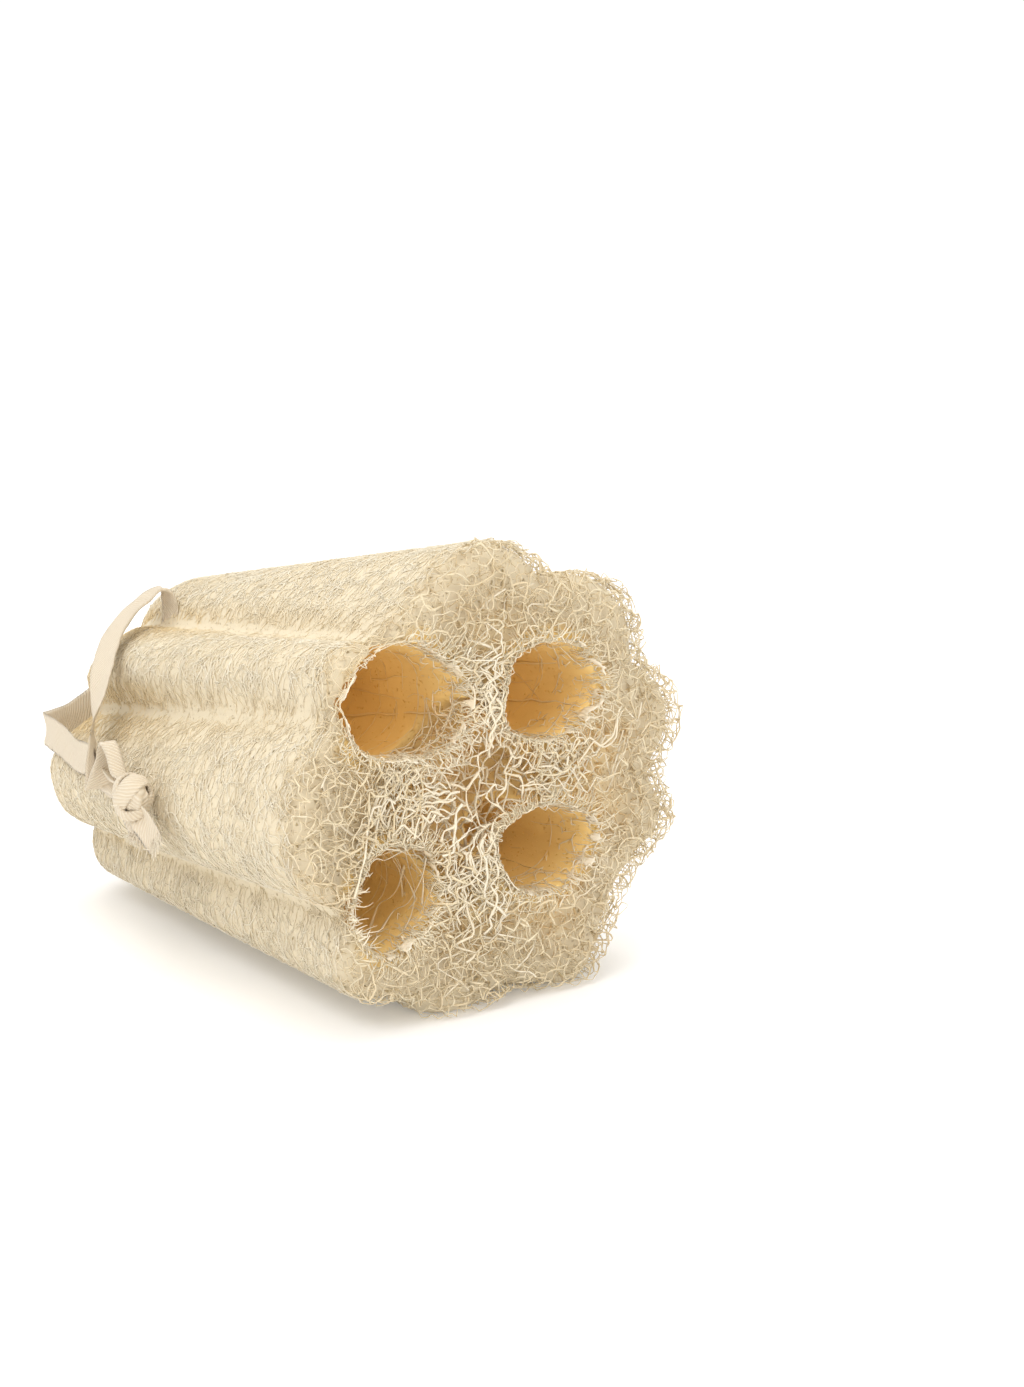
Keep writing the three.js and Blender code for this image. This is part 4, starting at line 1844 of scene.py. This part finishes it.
    def _fray(self) -> bpy.types.Object:
        """Draws the loose threads at the cut ends.

        Returns:
            The piece.
        """
        fibres = FibreSet("tape_fray")
        shift = np.array([self.form.shift, 0.0, 0.0])
        for steps in self.ends:
            end, before = np.array(steps[-1].at) + shift, np.array(steps[-2].at) + shift
            way = (end - before) / np.linalg.norm(end - before)
            side = np.cross(way, np.array(steps[-1].face))
            side /= np.linalg.norm(side)
            for _ in range(self.threads):
                root = end + side * self.rng.uniform(-0.42, 0.42) * self.width
                root = root - way * self.rng.uniform(0.0, 1.5)
                bend = way * 0.8 + self.rng.normal(0.0, 0.35, 3)
                length = self.rng.uniform(1.0, 2.6)
                share = np.linspace(0.0, 1.0, 6)[:, None]
                line = root + bend * length * share + self.rng.normal(0.0, 0.9, 3) * share**2
                line[:, 0] = np.minimum(line[:, 0], end[0] - 0.2)
                fibres.add(line, np.full(6, self.rng.uniform(0.08, 0.14)))
        piece = fibres.build()
        set_amber_shade(piece.data, np.zeros(len(piece.data.vertices)))
        return piece

    def build(self) -> list[bpy.types.Object]:
        """Lays the loop, the knot and the cut ends.

        Returns:
            The loop first, then the pieces on it.
        """
        places, facing = self._line(self.route, 12)
        run = np.concatenate([[0.0], np.cumsum(np.linalg.norm(np.diff(places, axis=0), axis=1))])
        fold = self.gathered * (1.0 - smooth_step(8.0, 46.0, run))
        fold = fold + self.gathered * smooth_step(-36.0, -10.0, run - run[-1])
        fold = fold + self.far_fold * smooth_step(62.0, 78.0, places[:, 1])
        pieces = [self._band("hanging_tape_loop", places, facing, self.width, fold)]
        for name, radii, tilt, turn, width in self.wraps:
            pieces.append(self._wrap(name, radii, tilt, turn, width))
        pieces.append(self._core())
        for number, steps in enumerate(self.ends):
            line, looks = self._line(steps, 10)
            gather = self.end_fold * (1.0 - smooth_step(0.0, 0.8, np.linspace(0.0, 1.0, len(line))))
            pieces.append(self._band(f"tape_end_{number}", line, looks, self.width * 0.9, gather))
        pieces.append(self._fray())
        return pieces

    def dress(self, pieces: list[bpy.types.Object]) -> None:
        """Gives the tape and its threads their finishes, ties them to the frame and hides the
        construction part they stand for.

        Args:
            pieces: The loop first, then the pieces on it.
        """
        material = self.finish.build()
        for piece in pieces[:-1]:
            show(piece, Node.TAPE, material)
        show(pieces[-1], Node.TAPE, self.thread.build())


@dataclass
class Studio:
    """Pale floor, soft light and the photograph's camera."""

    azimuth: float = -38.4
    elevation: float = 11.5
    distance: float = 619.0
    target: Triple = (61.0, 0.0, 54.8)
    lens: float = 59.7
    glow: tuple[float, ...] = (0.0009, 0.0006, 0.00025, 0.00025)
    glow_deep: tuple[float, float] = (30.0, 66.0)
    glow_colour: Triple = (1.0, 0.86, 0.66)
    glow_size: float = 0.006
    lamp_target: Triple = (0.0, 0.0, 0.05)
    floor_radius: float = 1.1
    floor_colour: Triple = (0.97, 0.97, 0.97)
    floor_light: float = 0.12
    sky: tuple[tuple[str, float], ...] = (
        ("From Min", 0.55),
        ("From Max", 0.9),
        ("To Min", 0.82),
        ("To Max", 1.03),
    )
    lamps: tuple[tuple[str, Triple, float, float, Triple], ...] = (
        ("key", (-0.8, -0.55, 1.0), 0.7, 5.4, (1.0, 0.985, 0.96)),
        ("fill", (-0.1, -1.2, 0.3), 0.5, 1.5, (1.0, 0.985, 0.96)),
        ("top", (0.1, 0.25, 1.5), 1.5, 9.5, (1.0, 0.99, 0.97)),
    )

    def _back(self) -> Vector:
        """Finds the way from the target to the camera.

        Returns:
            The way, one long.
        """
        turn, lift = math.radians(self.azimuth), math.radians(self.elevation)
        level = math.cos(lift)
        return Vector((math.sin(turn) * level, -math.cos(turn) * level, math.sin(lift)))

    def _camera(self) -> None:
        """Sets the camera of the photograph."""
        back = self._back()
        data = bpy.data.cameras.new("camera")
        data.lens = self.lens
        data.sensor_width = 36.0
        data.clip_start = 0.01
        camera = bpy.data.objects.new("camera", data)
        camera.location = (Vector(self.target) + back * self.distance) * MM
        camera.rotation_euler = (-back).to_track_quat("-Z", "Y").to_euler()
        bpy.context.scene.collection.objects.link(camera)
        bpy.context.scene.camera = camera

    def _lamp(
        self,
        name: str,
        at: Triple,
        size: float,
        watts: float,
        colour: Triple,
    ) -> None:
        """Hangs one soft lamp that looks at the sponge.

        Args:
            name: Name of the lamp.
            at: Its place in metres.
            size: Its diameter in metres.
            watts: Its power.
            colour: Its colour.
        """
        data = bpy.data.lights.new(name, "AREA")
        data.shape = "DISK"
        data.size = size
        data.energy = watts
        data.color = colour
        lamp = bpy.data.objects.new(name, data)
        lamp.location = at
        way = Vector(self.lamp_target) - Vector(at)
        lamp.rotation_euler = way.to_track_quat("-Z", "Y").to_euler()
        bpy.context.scene.collection.objects.link(lamp)

    def _glow(self, form: LoofahForm) -> None:
        """Lights the channels as light through thin walls does.

        Args:
            form: Form of the sponge.
        """
        for index in range(len(form.channels)):
            for depth in self.glow_deep:
                y = form.front + depth
                x, z, _, _ = form.section(index, np.array(y))
                data = bpy.data.lights.new(f"glow_{index}", "POINT")
                data.energy = self.glow[index]
                data.color = self.glow_colour
                data.shadow_soft_size = self.glow_size
                lamp = bpy.data.objects.new(data.name, data)
                lamp.location = (float(x) * MM, y * MM, float(z) * MM)
                lamp.visible_camera = False
                bpy.context.scene.collection.objects.link(lamp)

    def _floor(self) -> None:
        """Lays the pale floor."""
        sheet = bmesh.new()
        bmesh.ops.create_circle(sheet, cap_ends=True, segments=96, radius=self.floor_radius)
        floor = to_piece("floor", sheet)
        material, shader = start_material("floor", 0.9, 0.1)
        shader.inputs["Base Color"].default_value = (*self.floor_colour, 1.0)
        shader.inputs["Emission Color"].default_value = (1.0, 1.0, 1.0, 1.0)
        shader.inputs["Emission Strength"].default_value = self.floor_light
        floor.data.materials.append(material)

    def build(self, form: LoofahForm) -> None:
        """Sets the floor, the light and the camera.

        Args:
            form: Form of the sponge, whose thin walls let light into the channels.
        """
        self._floor()
        self._glow(form)
        world = bpy.data.worlds.new("studio")
        world.use_nodes = True
        nodes, links = world.node_tree.nodes, world.node_tree.links
        way = nodes.new("ShaderNodeTexCoord")
        ahead = nodes.new("ShaderNodeVectorMath")
        ahead.operation = "DOT_PRODUCT"
        links.new(way.outputs["Generated"], ahead.inputs[0])
        ahead.inputs[1].default_value = -self._back()
        level = nodes.new("ShaderNodeMapRange")
        for socket, value in self.sky:
            level.inputs[socket].default_value = value
        links.new(ahead.outputs["Value"], level.inputs["Value"])
        links.new(level.outputs["Result"], nodes["Background"].inputs["Strength"])
        nodes["Background"].inputs["Color"].default_value = (1.0, 1.0, 1.0, 1.0)
        bpy.context.scene.world = world
        for lamp in self.lamps:
            self._lamp(*lamp)
        bpy.context.scene.view_settings.view_transform = "Standard"
        self._camera()


def main() -> None:
    """Builds the sponge, the tape and the studio."""
    logging.basicConfig(level=logging.INFO)
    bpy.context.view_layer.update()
    form = LoofahForm()
    rng = np.random.default_rng(7)
    for part in (
        FeltBody(form),
        SkinFibres(form, rng),
        CutFaceNet(form, rng),
        RimNet(form, rng),
        HeartLattice(form, rng),
        ChannelLining(form, rng),
        MouthFringe(form, rng),
        MouthFilm(form),
        Septa(form, rng),
        FarEndNet(form, rng),
        HangingTape(form, rng),
    ):
        part.dress(part.build())
    Studio().build(form)


if __name__ == "__main__":
    main()
